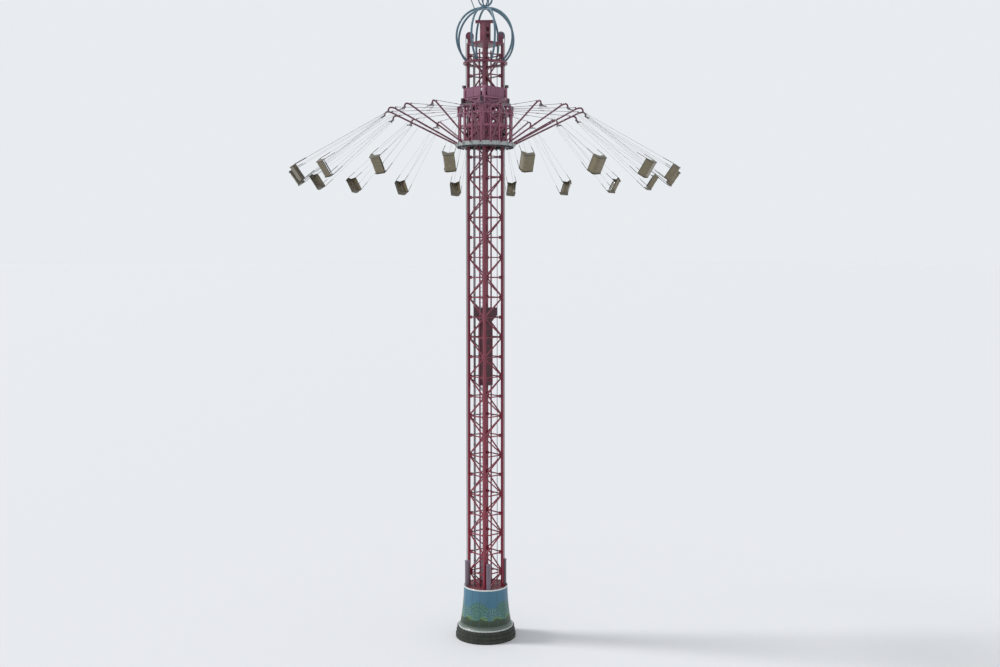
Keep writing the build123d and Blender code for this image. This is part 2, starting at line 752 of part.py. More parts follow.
# Swing chair, drawn hanging straight down from its pin: X is across the seat, Y is forward.
cheek_face = arm_radius + cheek_clearance
seat_half = seat_width / 2
pan_half = seat_half - seat_shell - seat_gap
pan_level = -seat_drop
with BuildPart() as chair_pattern:
    add_disc((0, -cheek_face, 0), (0, 1, 0), pin_radius, 2 * cheek_face, pin_sides)
    for hand in (-1, 1):
        with BuildSketch(Plane.XZ.offset(-hand * (cheek_face + yoke_plate / 2))) as cheek:
            with Locations((0, (2 * pin_radius - yoke_drop) / 2)):
                Rectangle(yoke_width, yoke_drop + 2 * pin_radius)
        extrude(cheek.sketch, amount=yoke_plate / 2, both=True)
    add_bar((0, -spreader_length / 2, -yoke_drop), (0, spreader_length / 2, -yoke_drop), yoke_width)
    for x in (-1, 1):
        for y, foot_y, foot_level in (
            (-1, -back_head, back_height), (1, seat_front, side_height),
        ):
            top = (
                x * chain_spread,
                y * (spreader_length / 2 - chain_radius),
                -yoke_drop - yoke_width / 2 - chain_gap,
            )
            foot = (
                x * (seat_half - seat_shell / 2),
                foot_y - y * chain_radius,
                pan_level + foot_level + chain_gap,
            )
            add_bar(top, foot, 2 * chain_radius, chain_sides)
    with BuildSketch(Plane.YZ) as pan_profile:
        with BuildLine():
            Polyline(
                (seat_front, pan_level + knee_rise),
                (hip_depth - back_foot, pan_level - seat_shell),
                (-back_foot, pan_level),
                (-back_head, pan_level + back_height),
                (seat_shell - back_head, pan_level + back_height),
                (seat_shell - back_foot, pan_level + seat_shell),
                (hip_depth - back_foot, pan_level),
                (seat_front, pan_level + knee_rise + seat_shell),
                close=True,
            )
        make_face()
    extrude(pan_profile.sketch, amount=pan_half, both=True)
    for hand in (-1, 1):
        with BuildSketch(Plane.YZ.offset(hand * (seat_half - seat_shell / 2))) as side_panel:
            with BuildLine():
                Polyline(
                    (seat_front, pan_level + knee_rise - seat_shell),
                    (hip_depth - back_foot, pan_level - 2 * seat_shell),
                    (-back_foot - seat_shell, pan_level - seat_shell / 2),
                    (-back_head - seat_shell, pan_level + back_height),
                    (2 * seat_shell - back_head, pan_level + back_height),
                    (0, pan_level + lap_height + lap_bar_radius),
                    (seat_front - 2 * seat_shell, pan_level + side_height),
                    (seat_front, pan_level + side_height),
                    close=True,
                )
            make_face()
        extrude(side_panel.sketch, amount=seat_shell / 2, both=True)
    lap_level = pan_level + lap_height
    lap_place = seat_front - 2 * seat_shell
    add_bar((-pan_half, lap_place, lap_level), (pan_half, lap_place, lap_level), 2 * lap_bar_radius)

for number, angle in enumerate(arm_angles, start=1):
    outwards = Vector(cos(radians(angle)), sin(radians(angle)), 0)
    hinge_point = outwards * arm_tip_radius + Vector(0, 0, hinge_level)
    up_chain = Vector(0, 0, cos(radians(swing_angle))) - outwards * sin(radians(swing_angle))
    across = outwards * cos(radians(swing_angle)) + Vector(0, 0, sin(radians(swing_angle)))
    with BuildPart(Plane(origin=hinge_point, x_dir=across, z_dir=up_chain)) as chair:
        add(chair_pattern.part)
    chair.part.label = f"chair_{number:02d}"
    export_step(chair.part, f"parts/chair_{number:02d}.step")

# Counterweight: a block between the guide rails, hung from two sheaves on a diagonal crosshead.
weight_top = weight_level + weight_height
with BuildPart() as counterweight:
    with BuildSketch(Plane.XY.offset(weight_level)):
        Rectangle(weight_width, weight_width)
    extrude(amount=weight_height)
    chamfer(counterweight.edges().filter_by(Axis.Z), weight_chamfer)
    for hand in (-1, 1):
        for level in (weight_level, weight_top - shoe_length):
            shoe_end = rail_offset - rail_width / 2 - shoe_clearance
            with BuildSketch(Plane.XY.offset(level)) as shoe:
                with Locations((hand * (weight_width / 2 + shoe_end) / 2, 0)):
                    Rectangle(shoe_end - weight_width / 2, shoe_width)
            extrude(shoe.sketch, amount=shoe_length)
    diagonal = Vector(1, -1, 0).normalized()
    normal = Vector(1, 1, 0).normalized()
    for hand in (-1, 1):
        start = hand * (weight_sheave_width / 2 + cheek_gap)
        with BuildSketch(
            Plane(origin=normal * start, x_dir=diagonal * -hand, z_dir=normal * hand)
        ) as crosshead:
            with BuildLine():
                Polyline(
                    (-weight_width / 2, weight_top),
                    (weight_width / 2, weight_top),
                    (crosshead_half, weight_top + crosshead_rise),
                    (crosshead_half, weight_top + crosshead_rise + crosshead_height),
                    (-crosshead_half, weight_top + crosshead_rise + crosshead_height),
                    (-crosshead_half, weight_top + crosshead_rise),
                    close=True,
                )
            make_face()
        extrude(crosshead.sketch, amount=cheek_thickness)
counterweight.part.label = "counterweight"
export_step(counterweight.part, "parts/counterweight.step")

with BuildPart() as weight_sheaves:
    for hand in (-1, 1):
        middle = diagonal * (hand * weight_sheave_circle) + Vector(
            0, 0, weight_top + crosshead_rise + crosshead_height / 2
        )
        half_sheave = weight_sheave_width / 2
        flange = (weight_sheave_width - rope_gap) / 2
        shaft = half_sheave + cheek_gap
        add_disc(middle - normal * shaft, normal, weight_hub_radius, 2 * shaft)
        add_disc(middle - normal * half_sheave, normal, weight_sheave_radius, flange)
        add_disc(middle + normal * (half_sheave - flange), normal, weight_sheave_radius, flange)
weight_sheaves.part.label = "weight_sheaves"
export_step(weight_sheaves.part, "parts/weight_sheaves.step")
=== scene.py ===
from math import atan, cos, pi, radians, sin, sqrt, tan

import bmesh
import bpy
from mathutils import Matrix, Vector


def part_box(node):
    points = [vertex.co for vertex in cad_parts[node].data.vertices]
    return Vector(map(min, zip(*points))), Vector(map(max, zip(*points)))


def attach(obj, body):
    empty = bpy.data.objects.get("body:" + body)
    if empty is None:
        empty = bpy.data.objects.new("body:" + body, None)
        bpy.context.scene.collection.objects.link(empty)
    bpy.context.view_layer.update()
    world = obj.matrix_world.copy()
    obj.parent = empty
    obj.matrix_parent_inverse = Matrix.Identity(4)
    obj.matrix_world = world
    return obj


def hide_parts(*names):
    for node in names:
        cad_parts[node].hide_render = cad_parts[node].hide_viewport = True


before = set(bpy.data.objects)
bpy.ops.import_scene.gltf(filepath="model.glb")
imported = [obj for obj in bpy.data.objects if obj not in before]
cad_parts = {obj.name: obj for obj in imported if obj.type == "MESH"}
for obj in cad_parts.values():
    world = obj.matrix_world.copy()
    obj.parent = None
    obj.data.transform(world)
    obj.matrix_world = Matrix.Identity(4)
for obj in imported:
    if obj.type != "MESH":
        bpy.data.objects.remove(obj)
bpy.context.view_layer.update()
scene = bpy.context.scene
scene.view_settings.view_transform = "Standard"

# The camera stands where the photographer did: level with the tower's upper half, on a
# neighbouring roof, with the tower's near corner a little to the left of the view's middle.
photo_width = 1000
focal_pixels = 1130
sensor_width = 36
camera_distance = 45.5
camera_height = 15.45
camera_azimuth = radians(229.2)
axis_pixel = 485.5
camera_pitch = radians(3.82)

camera = bpy.data.cameras.new("camera")
camera.sensor_width = sensor_width
camera.lens = focal_pixels / photo_width * sensor_width
camera.clip_end = 8000
viewer = bpy.data.objects.new("viewer", camera)
viewer.location = (
    camera_distance * cos(camera_azimuth),
    camera_distance * sin(camera_azimuth),
    camera_height,
)
towards_tower = camera_azimuth + pi / 2
aside = atan((photo_width / 2 - axis_pixel) / focal_pixels)
viewer.rotation_euler = (pi / 2 - camera_pitch, 0, towards_tower - aside)
scene.collection.objects.link(viewer)
scene.camera = viewer

# The plinth is three courses of dark green cast stone, each set back from the one below. The
# courses are curved blocks with narrow joints, bedded on the footing.
plinth_radius = 1.225
plinth_step = 0.03
plinth_courses = 3
plinth_blocks = 24
plinth_edge = 0.008
joint_width = 0.006


def heights(node):
    """Heights of the underside and the top of a piece of the frame."""
    low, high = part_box(node)
    return low[2], high[2]


def display(red, green, blue):
    """Linear colour for the shaders from a colour as a screen shows it, each part from 0 to 255."""
    parts = [part / 255 for part in (red, green, blue)]
    linear = [p / 12.92 if p <= 0.04045 else ((p + 0.055) / 1.055) ** 2.4 for p in parts]
    return (*linear, 1)


class Coat:
    """One socket of a finish that is being mixed. Sums and products of coats add their own nodes."""

    def __init__(self, tree, socket=None):
        self.tree = tree
        self.socket = socket

    def node(self, kind, sockets=None, output=0, **settings):
        """Adds a node with these settings, fills or joins its sockets and gives one it puts out."""
        made = self.tree.nodes.new("ShaderNode" + kind)
        for name, value in settings.items():
            setattr(made, name, value)
        for name, value in (sockets or {}).items():
            if isinstance(value, Coat):
                self.tree.links.new(value.socket, made.inputs[name])
            else:
                made.inputs[name].default_value = value
        return Coat(self.tree, made.outputs[output])

    def maths(self, operation, *others):
        return self.node("Math", dict(enumerate((self, *others))), operation=operation)

    def __add__(self, other):
        return self.maths("ADD", other)

    def __sub__(self, other):
        return self.maths("SUBTRACT", other)

    def __mul__(self, other):
        return self.maths("MULTIPLY", other)

    def __truediv__(self, other):
        return self.maths("DIVIDE", other)

    def __lt__(self, other):
        return self.maths("LESS_THAN", other)

    def __gt__(self, other):
        return self.maths("GREATER_THAN", other)

    def held(self, low, high):
        """0 at low and below, 1 at high and above, straight between."""
        return self.node("MapRange", {"Value": self, "From Min": low, "From Max": high}, clamp=True)

    def between(self, first, second):
        """Colour mixed from first to second as this value goes from 0 to 1."""
        return self.node("Mix", {0: self, 6: first, 7: second}, 2, data_type="RGBA")


def start_finish(name):
    """A new material, its shader and a coat that holds the place on the object, in metres."""
    finish = bpy.data.materials.new(name)
    finish.use_nodes = True
    tree = finish.node_tree
    return finish, tree.nodes["Principled BSDF"], Coat(tree).node("TexCoord", output=3)


def feed(shader, **coats):
    """Joins coats to the shader's sockets: colour, roughness or bump height in metres."""
    names = {"colour": "Base Color", "roughness": "Roughness", "height": "Normal"}
    for name, coat in coats.items():
        if name == "height":
            coat = coat.node("Bump", {"Height": coat, "Distance": 1.0})
        shader.id_data.links.new(coat.socket, shader.inputs[names[name]])


def spots(place, size, detail=4):
    """Cloudy noise whose patches are about this size in metres."""
    return place.node("TexNoise", {"Vector": place, "Scale": 1 / size, "Detail": detail, "Roughness": 0.55})


def runs(place, width, length):
    """Noise drawn out downwards, as rain leaves on paint."""
    stretched = place.node("Mapping", {"Vector": place, "Scale": (1 / width, 1 / width, 1 / length)})
    return place.node("TexNoise", {"Vector": stretched, "Scale": 1.0, "Detail": 3.0})


def side_of(place, output):
    """One of the place's three lengths: 0 and 1 are level, 2 is the height over the ground."""
    return place.node("SeparateXYZ", {"Vector": place}, output)


def turn_share(place):
    """Share of a whole turn about the tower's axis, from 0 to 1."""
    return side_of(place, 1).maths("ARCTAN2", side_of(place, 0)) / (2 * pi) + 0.5


def begin_piece(primitive, location=(0, 0, 0), **sizes):
    """Adds a primitive, fixes it where it stands and leaves it as the only thing in hand."""
    bpy.ops.object.select_all(action="DESELECT")
    primitive(location=location, **sizes)
    bpy.ops.object.transform_apply(location=True, rotation=True)
    return bpy.context.object


def edit_all():
    """Opens the piece in hand for editing, with all of it selected."""
    bpy.ops.object.mode_set(mode="EDIT")
    bpy.ops.mesh.select_all(action="SELECT")


def end_edit():
    """Turns all faces outward and closes the editing."""
    bpy.ops.mesh.select_all(action="SELECT")
    bpy.ops.mesh.normals_make_consistent(inside=False)
    bpy.ops.object.mode_set(mode="OBJECT")
    return bpy.context.object


def turn(outline, sides=128, closed=True):
    """Round piece drawn out of one circle, ring by ring, along pairs of radius and height."""
    (radius, height), *rest = outline
    begin_piece(bpy.ops.mesh.primitive_circle_add, (0, 0, height), vertices=sides, radius=radius)
    edit_all()
    for next_radius, next_height in rest + (outline[:1] if closed else []):
        bpy.ops.mesh.extrude_edges_move(TRANSFORM_OT_translate={"value": (0, 0, next_height - height)})
        growth = next_radius / radius
        bpy.ops.transform.resize(value=(growth, growth, 1), center_override=(0, 0, next_height))
        radius, height = next_radius, next_height
    if not closed:
        bpy.ops.mesh.edge_face_add()
        bpy.ops.mesh.select_all(action="DESELECT")
        bpy.ops.mesh.select_non_manifold()
        bpy.ops.mesh.edge_face_add()
    bpy.ops.mesh.select_all(action="SELECT")
    bpy.ops.mesh.remove_doubles(threshold=0.00001)
    return end_edit()


def paint(material, sharp=35):
    """Fixes the piece in hand in its place, smooths it below an angle and gives it a finish."""
    piece = bpy.context.object
    bpy.ops.object.transform_apply(location=True, rotation=True, scale=True)
    bpy.ops.object.shade_smooth_by_angle(angle=radians(sharp))
    piece.data.materials.clear()
    piece.data.materials.append(material)
    return piece


def finish_piece(name, body, slot, material, *replaced):
    """Paints and names the piece in hand, hangs it on its body and hides the frame's nodes that it replaces.
    """
    piece = paint(material)
    piece.name = name
    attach(piece, body)
    if replaced:
        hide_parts(*replaced)


course_height = heights("base_plinth")[1] / plinth_courses
plinth_outline = []
for course in range(plinth_courses):
    face = plinth_radius - course * plinth_step
    foot = course * course_height
    plinth_outline += [
        (face, foot),
        (face, foot + course_height - plinth_edge),
        (face - plinth_edge, foot + course_height),
    ]

plinth_green, shader, place = start_finish("plinth_green")
course_number = side_of(place, 2) / course_height
shifted = turn_share(place) * plinth_blocks + course_number.maths("FLOOR") * 0.5
joint_share = joint_width * plinth_blocks / (2 * pi * plinth_radius)
upright_joint = shifted.maths("FRACT") < joint_share
bed_joint = course_number.maths("FRACT") > 0.9
cast_grain = spots(place, 0.012, 5)
stain = runs(place, 0.12, 0.5).held(0.5, 0.75)
pitted = spots(place, 0.22).held(0.35, 0.65)
stone = stain.between(pitted.between(display(38, 44, 34), display(50, 56, 45)), display(27, 30, 24))
feed(
    shader,
    colour=upright_joint.maths("MAXIMUM", bed_joint).between(stone, display(24, 26, 23)),
    roughness=cast_grain * 0.2 + 0.55,
    height=cast_grain * 0.001 - upright_joint * 0.004,
)
turn(plinth_outline, closed=False)
finish_piece("plinth_courses", "root", "plinth_stone", plinth_green, "base_plinth")

# The ring under the drum is a rolled steel skirt in grey green, with a white lip along its foot.
# A circle of hexagon bolts through the lip holds it down on the plinth.
ring_low, ring_high = heights("base_ring")
ring_radius = 1.12
ring_top_radius = 1.045
skirt_wall = 0.06
lip_height = 0.046
lip_width = 0.09
lip_stand = 0.012
lip_edge = 0.006
lip_lap = 0.004
foot_bolts = 48


def sprayed_steel(name, lower_colour, painted_top_light, grime, top_light_low, top_light_high, gloss=0.38):
    """Sprayed paint on steel, with faint dirt that rain has drawn down it. Its paling with height is painted
    haze and light.
    """
    finish, shader, place = start_finish(name)
    patches = spots(place, 0.35).held(0.42, 0.68)
    dirt = runs(place, 0.05, 0.9).held(0.56, 0.74) * 0.55
    # The colour pales between two heights: painted haze and sunlight on the upper parts, mixed with random
    # patches of tone.
    top_light_and_patches = side_of(place, 2).held(top_light_low, top_light_high) * 0.8 + patches * 0.2
    feed(
        shader,
        colour=dirt.between(top_light_and_patches.between(display(*lower_colour), display(*painted_top_light)), display(*grime)),
        roughness=patches * 0.12 + dirt * 0.3 + gloss,
        height=spots(place, 0.006, 2) * 0.00025,
    )
    shader.inputs["Coat Weight"].default_value = 0.12
    return finish


def bare_steel(name, bright, dull, roughness, metal=0.9):
    """Galvanised or ground steel with cloudy patches and faint runs."""
    finish, shader, place = start_finish(name)
    spangle = spots(place, 0.03, 3)
    streak = runs(place, 0.02, 0.4).held(0.35, 0.75)
    feed(
        shader,
        colour=(spangle.held(0.35, 0.7) * 0.6 + streak * 0.4).between(display(*bright), display(*dull)),
        roughness=spangle * 0.2 + roughness,
        height=spangle * 0.0002,
    )
    shader.inputs["Metallic"].default_value = metal
    return finish


def moved(x, y, z):
    """Matrix that moves a piece."""
    return Matrix.Translation((x, y, z))


def tipped(axis, quarters=1):
    """Matrix that tips a piece by quarter turns about an axis."""
    return Matrix.Rotation(quarters * pi / 2, 4, axis)


def turned(angle):
    """Matrix that turns a piece about the tower's axis, in degrees."""
    return Matrix.Rotation(radians(angle), 4, "Z")


def ring_places(count, first=0.0, place=Matrix.Identity(4)):
    """One place in a ring about the tower's axis for each even turn, starting at an angle."""
    return [turned(first + number * 360 / count) @ place for number in range(count)]


def join_pieces(*pieces):
    """Joins pieces into the first one's mesh and takes it in hand."""
    bpy.ops.object.select_all(action="DESELECT")
    for piece in pieces:
        piece.select_set(True)
    bpy.context.view_layer.objects.active = pieces[0]
    bpy.ops.object.join()
    return pieces[0]


def copied(pattern, place):
    """Copy of a pattern with a mesh of its own at a place."""
    copy = pattern.copy()
    copy.data = pattern.data.copy()
    copy.data.transform(place)
    scene.collection.objects.link(copy)
    return copy


def set_out(places):
    """Copies the piece in hand to each place and joins the copies into one mesh."""
    pattern = bpy.context.object
    copies = [copied(pattern, place) for place in places]
    bpy.data.objects.remove(pattern)
    return join_pieces(*copies)


def bolts(radius, height, places):
    """Hexagon bolt heads on washers, one at each place, each standing up along its own Z."""
    washer = height * 0.3
    head = begin_piece(
        bpy.ops.mesh.primitive_cylinder_add, (0, 0, washer / 2),
        vertices=6, radius=radius * 1.35, depth=washer,
    )
    bpy.ops.object.mode_set(mode="EDIT")
    bpy.ops.mesh.select_all(action="DESELECT")
    for face in bmesh.from_edit_mesh(head.data).faces:
        face.select_set(face.normal.z > 0.9)
    bmesh.update_edit_mesh(head.data)
    bpy.ops.mesh.inset(thickness=radius * 0.35)
    bpy.ops.mesh.extrude_region_move(TRANSFORM_OT_translate={"value": (0, 0, height - washer)})
    bpy.ops.object.mode_set(mode="OBJECT")
    return set_out(places)


lip_top = ring_low + lip_height
ring_white = sprayed_steel("ring_white", (208, 214, 209), (216, 220, 216), (140, 148, 142), 0.4, 0.6)
skirt_green = sprayed_steel("skirt_green", (92, 104, 94), (104, 114, 106), (62, 70, 60), 0.4, 0.6)
turn([
    (ring_radius - lip_stand, lip_top - lip_lap),
    (ring_top_radius + 0.012, ring_high - 0.014),
    (ring_top_radius + 0.004, ring_high),
    (ring_top_radius - skirt_wall, ring_high),
    (ring_top_radius - skirt_wall, lip_top - lip_lap),
])
finish_piece("skirt_ring", "root", "ring_pale", skirt_green, "base_ring")
turn([
    (ring_radius, ring_low),
    (ring_radius, lip_top - lip_edge),
    (ring_radius - lip_edge, lip_top),
    (ring_radius - lip_width, lip_top),
    (ring_radius - lip_width, ring_low),
])
finish_piece("ring_lip", "root", "ring_pale", ring_white, "base_ring")

zinc = bare_steel("zinc", (160, 158, 164), (118, 116, 122), 0.4)
on_lip = moved(ring_radius - 0.002, 0, ring_low + lip_height / 2) @ tipped("Y")
bolts(0.011, 0.016, ring_places(foot_bolts, place=on_lip))
finish_piece("skirt_bolts", "root", "galvanised", zinc)

# The drum is a flared shell of rolled sheet with a painted band of ribbed fans and low green
# banks under a plain sky. Cover strips close its upright seams, and a white lip caps the rim.
drum_low, drum_high = heights("base_drum")
drum_height = drum_high - drum_low
drum_rim = 0.89
drum_flare = 0.15
flare_power = 1.9
drum_wall = 0.03
drum_rings = 18
fan_ribs = 9
outer_face = [
    (drum_rim + drum_flare * (1 - share) ** flare_power, drum_low + share * drum_height)
    for share in (number / drum_rings for number in range(drum_rings + 1))
]
inner_face = [(radius - drum_wall, height) for radius, height in reversed(outer_face)]

mural, shader, place = start_finish("drum_mural")
sheet_turn = turn_share(place)
sheet_height = (side_of(place, 2) - drum_low) / drum_height
clouds = spots(place, 0.5).held(0.45, 0.75)
sky = sheet_height.held(0.25, 1.0).between(display(56, 104, 124), display(66, 114, 138))
painted = (clouds * 0.2).between(sky, display(98, 136, 152))
fan_rows = (
    (5, 0.10, 0.36, 0.30, display(44, 92, 96), display(82, 126, 106)),
    (5, 0.58, 0.28, 0.24, display(40, 78, 104), display(96, 140, 128)),
    (10, 0.34, 0.17, 0.13, display(58, 98, 60), display(110, 142, 84)),
)
for count, offset, level, reach, dark, light in fan_rows:
    step = sheet_turn * count + offset
    sideways = (step.maths("FRACT") - 0.5) * (2 * pi / count * 0.93 / drum_height)
    upward = sheet_height - level
    distance = (sideways * sideways + upward * upward).maths("SQRT")
    ripple = (sideways.maths("ARCTAN2", upward) * fan_ribs).maths("COSINE").maths("ABSOLUTE")
    scallop = ripple * 0.035 + (reach - 0.02)
    bands = ((distance / reach) * 3).maths("FRACT") > 0.8
    leaf = (ripple.held(0.25, 0.6) * 0.8).between(dark, light)
    leaf = (bands * 0.5).between(leaf, display(38, 66, 74))
    painted = (distance < scallop).between(painted, leaf)
banks = ((9, 0.30, 0.22, 0.025, display(52, 74, 48)), (14, 0.10, 0.14, 0.02, display(42, 60, 38)))
for waves, offset, crest, sway, colour in banks:
    wave = ((sheet_turn * waves + offset) * (2 * pi)).maths("SINE") * sway
    wave = wave + ((sheet_turn * (waves * 2 + 1) + offset) * (2 * pi)).maths("SINE") * (sway * 0.4)
    shade = (sheet_height / crest).held(0.4, 1.1)
    painted = (sheet_height < (wave + crest)).between(painted, shade.between(display(38, 50, 36), colour))
painted = (sheet_height < 0.045).between(painted, display(84, 96, 86))
weather = runs(place, 0.06, 0.8).held(0.55, 0.8) * 0.35
feed(
    shader,
    colour=weather.between(painted, display(58, 82, 84)),
    roughness=spots(place, 0.2, 3) * 0.18 + weather * 0.4 + 0.3,
    height=spots(place, 0.35, 2) * 0.002 + spots(place, 0.006, 2) * 0.0002,
)
turn(outer_face + inner_face)
finish_piece("drum_shell", "root", "drum_blue", mural, "base_drum")

drum_blue = sprayed_steel("drum_blue", (54, 86, 88), (66, 108, 130), (42, 66, 74), 0.6, 1.5)
seam_count = 16
strip_width = 0.016
strip_stand = 0.004
begin_piece(bpy.ops.mesh.primitive_plane_add, size=1)
edit_all()
bpy.ops.transform.resize(value=(strip_stand * 2, strip_width, 1), center_override=(0, 0, 0))
bpy.ops.transform.translate(value=(outer_face[0][0], 0, drum_low))
for (radius, height), (next_radius, next_height) in zip(outer_face[:-1], outer_face[1:]):
    step = (next_radius - radius, 0, next_height - height)
    bpy.ops.mesh.extrude_region_move(TRANSFORM_OT_translate={"value": step})
end_edit()
set_out(ring_places(seam_count, 360 / seam_count / 2))
finish_piece("drum_seam_strips", "root", "drum_blue", drum_blue)

rim_lip = 0.009
rim_drop = 0.05
rim_edge = 0.006
rim_inside = drum_rim - drum_wall - 0.002
turn([
    (drum_rim + rim_lip, drum_high - rim_drop),
    (drum_rim + rim_lip, drum_high - rim_edge),
    (drum_rim + rim_lip - rim_edge, drum_high),
    (rim_inside, drum_high),
    (rim_inside, drum_high - rim_drop),
])
finish_piece("drum_rim_lip", "root", "ring_pale", ring_white)

# The deck is dark red chequer plate, cut round the legs. Each leg stands through a collar of
# flat bar that is bolted to the deck.
tower_half = 0.48
leg_width = 0.09
deck_top = heights("base_deck")[1]
lug_pitch = 0.03
collar_reach = 0.05
collar_bar = 0.012
collar_size = leg_width + 2 * collar_reach
corners = ((-1, -1), (1, -1), (1, 1), (-1, 1))


def dress(material, *nodes):
    """Gives a finish to pieces of the frame, in place of what they came with."""
    for name in nodes:
        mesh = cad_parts[name].data
        mesh.materials.clear()
        mesh.materials.append(material)


def soften(width, segments=2, angle=40):
    """Rounds the sharp edges of the piece in hand."""
    rounding = bpy.context.object.modifiers.new("rounding", "BEVEL")
    rounding.width = width
    rounding.segments = segments
    rounding.limit_method = "ANGLE"
    rounding.angle_limit = radians(angle)
    bpy.ops.object.modifier_apply(modifier="rounding")


def slab(size, centre, soft):
    """Flat plate or box, its edges rounded by the width given."""
    begin_piece(bpy.ops.mesh.primitive_cube_add, size=1)
    edit_all()
    bpy.ops.transform.resize(value=size, center_override=(0, 0, 0))
    bpy.ops.transform.translate(value=centre)
    bpy.ops.object.mode_set(mode="OBJECT")
    soften(soft)
    return bpy.context.object


deck_red, shader, place = start_finish("deck_red")
across = (side_of(place, 0) + side_of(place, 1)) / lug_pitch
along = (side_of(place, 0) - side_of(place, 1)) / lug_pitch
lugs = (across.maths("FRACT") < 0.28) * (along.maths("FRACT") < 0.72)
worn = spots(place, 0.3, 5).held(0.4, 0.7)
feed(
    shader,
    colour=worn.between(display(96, 30, 44), display(116, 52, 62)),
    roughness=worn * 0.25 + 0.45,
    height=lugs * 0.0015,
)
dress(deck_red, "base_deck")

# The tower's crimson turns muted plum towards the top: painted haze and backlight.
tower_red = sprayed_steel("tower_red", (132, 28, 50), (104, 48, 66), (70, 26, 42), 2, 24)
collar_place = (tower_half, tower_half, deck_top + collar_bar / 2)
collar = slab((collar_size, collar_size, collar_bar), collar_place, 0.003)
bolt_spread = (leg_width + collar_reach) / 2
join_pieces(collar, bolts(0.009, 0.012, (
    moved(tower_half + x * bolt_spread, tower_half + y * bolt_spread, deck_top + collar_bar)
    for x, y in corners
)))
set_out(ring_places(4))
finish_piece("leg_collars", "root", "tower_paint", tower_red)

# Four buffers catch the carriage at the foot of its run: steel posts, lilac grey, each with a
# base flange and a thick rounded cap.
buffer_low, buffer_high = heights("buffers")
buffer_radius = 0.095
buffer_cap = 0.105
buffer_circle = 0.76
buffer_turn = 13
cap_low = buffer_high - 0.06
buffer_lilac = sprayed_steel("buffer_lilac", (108, 94, 106), (122, 108, 120), (72, 62, 70), 2, 3.2)
turn([
    (buffer_cap, buffer_low),
    (buffer_cap, buffer_low + 0.014),
    (buffer_radius, buffer_low + 0.02),
    (buffer_radius, cap_low - 0.012),
    (buffer_cap - 0.004, cap_low),
    (buffer_cap, cap_low + 0.006),
    (buffer_cap, buffer_high - 0.022),
    (buffer_cap - 0.008, buffer_high - 0.008),
    (buffer_cap - 0.03, buffer_high),
], sides=40, closed=False)
set_out(ring_places(4, 45 + buffer_turn, moved(buffer_circle, 0, 0)))
finish_piece("buffer_posts", "root", "buffer_paint", buffer_lilac, "buffers")

# The tower is a square lattice of box-section legs and bars in sprayed crimson, paler towards the top, where
# painted haze and backlight mute the colour. Each joint has a gusset plate with four bolts, and the legs
# have bolted splice plates.
dress(tower_red, "tower_legs", "lattice_front", "lattice_right", "lattice_back", "lattice_left")
bay_height = 0.8
first_joint = 2.675
last_joint = 23.475
joint_count = round((last_joint - first_joint) / bay_height) + 1
bar_width = 0.042
gusset_size = 0.12
gusset_plate = 0.008
gusset_bolt = 0.036
leg_inside = tower_half - leg_width / 2
gusset_face = tower_half - bar_width / 2 - gusset_plate
gusset_middle = leg_inside - gusset_size / 2


def stack(lowest, step, count):
    """Copies the piece in hand upward by even steps, the first one to the lowest height."""
    return set_out(moved(0, 0, lowest + number * step) for number in range(count))


gusset = slab(
    (gusset_size, gusset_plate, gusset_size), (gusset_middle, -gusset_face - gusset_plate / 2, 0), 0.0015
)
join_pieces(gusset, bolts(0.008, 0.009, (
    moved(gusset_middle + x * gusset_bolt, -gusset_face, z * gusset_bolt) @ tipped("X", -1)
    for x, z in corners
)))
set_out([Matrix.Identity(4), tipped("Y", 2)])
stack(first_joint, bay_height, joint_count)
set_out(ring_places(4))
finish_piece("joint_gussets", "root", "tower_paint", tower_red)

splice_step = 4 * bay_height
splice_count = 7
splice_length = 0.26
splice_plate = 0.01
splice_face = leg_inside - splice_plate
strap = slab(
    (leg_width - 0.012, splice_plate, splice_length), (tower_half, leg_inside - splice_plate / 2, 0), 0.002
)
join_pieces(strap, bolts(0.008, 0.009, (
    moved(tower_half + x, splice_face, z) @ tipped("X")
    for x in (-0.02, 0.02) for z in (-0.096, -0.048, 0.048, 0.096)
)))
set_out([Matrix.Identity(4), Matrix.Rotation(pi, 4, Vector((1, 1, 0)))])
stack(first_joint + 1.5 * bay_height, splice_step, splice_count)
set_out(ring_places(4))
finish_piece("leg_splices", "root", "tower_paint", tower_red)

# Two guide rails for the counterweight run up inside the tower. They are square bar painted
# with it, and bolted fishplates join their lengths.
rail_offset = 0.298
rail_width = 0.044
rail_length = 3.2
first_fishplate = first_joint + 1.1
fishplates = 6
fish_thick = 0.008
fish_face = rail_width / 2 + fish_thick
rail_plum = sprayed_steel("rail_plum", (118, 36, 58), (112, 52, 74), (60, 26, 38), 2, 24, gloss=0.3)
dress(rail_plum, "guide_rails")
fishplate = slab((0.03, fish_thick, 0.22), (rail_offset, fish_face - fish_thick / 2, 0), 0.002)
join_pieces(fishplate, bolts(0.007, 0.008, (
    moved(rail_offset, fish_face, z) @ tipped("X", -1) for z in (-0.08, -0.03, 0.03, 0.08)
)))
stack(first_fishplate, rail_length, fishplates)
set_out(ring_places(2))
finish_piece("rail_fishplates", "root", "galvanised", zinc)

# The ladder climbs the inside of the back face. Its rungs are round bar, 150 mm apart, welded
# between square stiles, and clips hold the galvanised cable duct beside it.
rung_step = 0.15
rung_radius = 0.009
rung_length = 0.145
ladder_centre = 0.115
ladder_depth = 0.399
ladder_low, ladder_high = heights("ladder")
rung_count = int((ladder_high - ladder_low) / rung_step) - 1
ladder_grey = bare_steel("ladder_grey", (176, 172, 172), (134, 130, 132), 0.42, metal=0.7)
dress(ladder_grey, "ladder", "cable_duct")
begin_piece(
    bpy.ops.mesh.primitive_cylinder_add, (ladder_centre, ladder_depth, 0), rotation=(0, pi / 2, 0),
    vertices=8, radius=rung_radius, depth=rung_length,
)
soften(0.0015, 1)
stack(ladder_low + rung_step, rung_step, rung_count)
finish_piece("ladder_rungs", "root", "galvanised", ladder_grey)

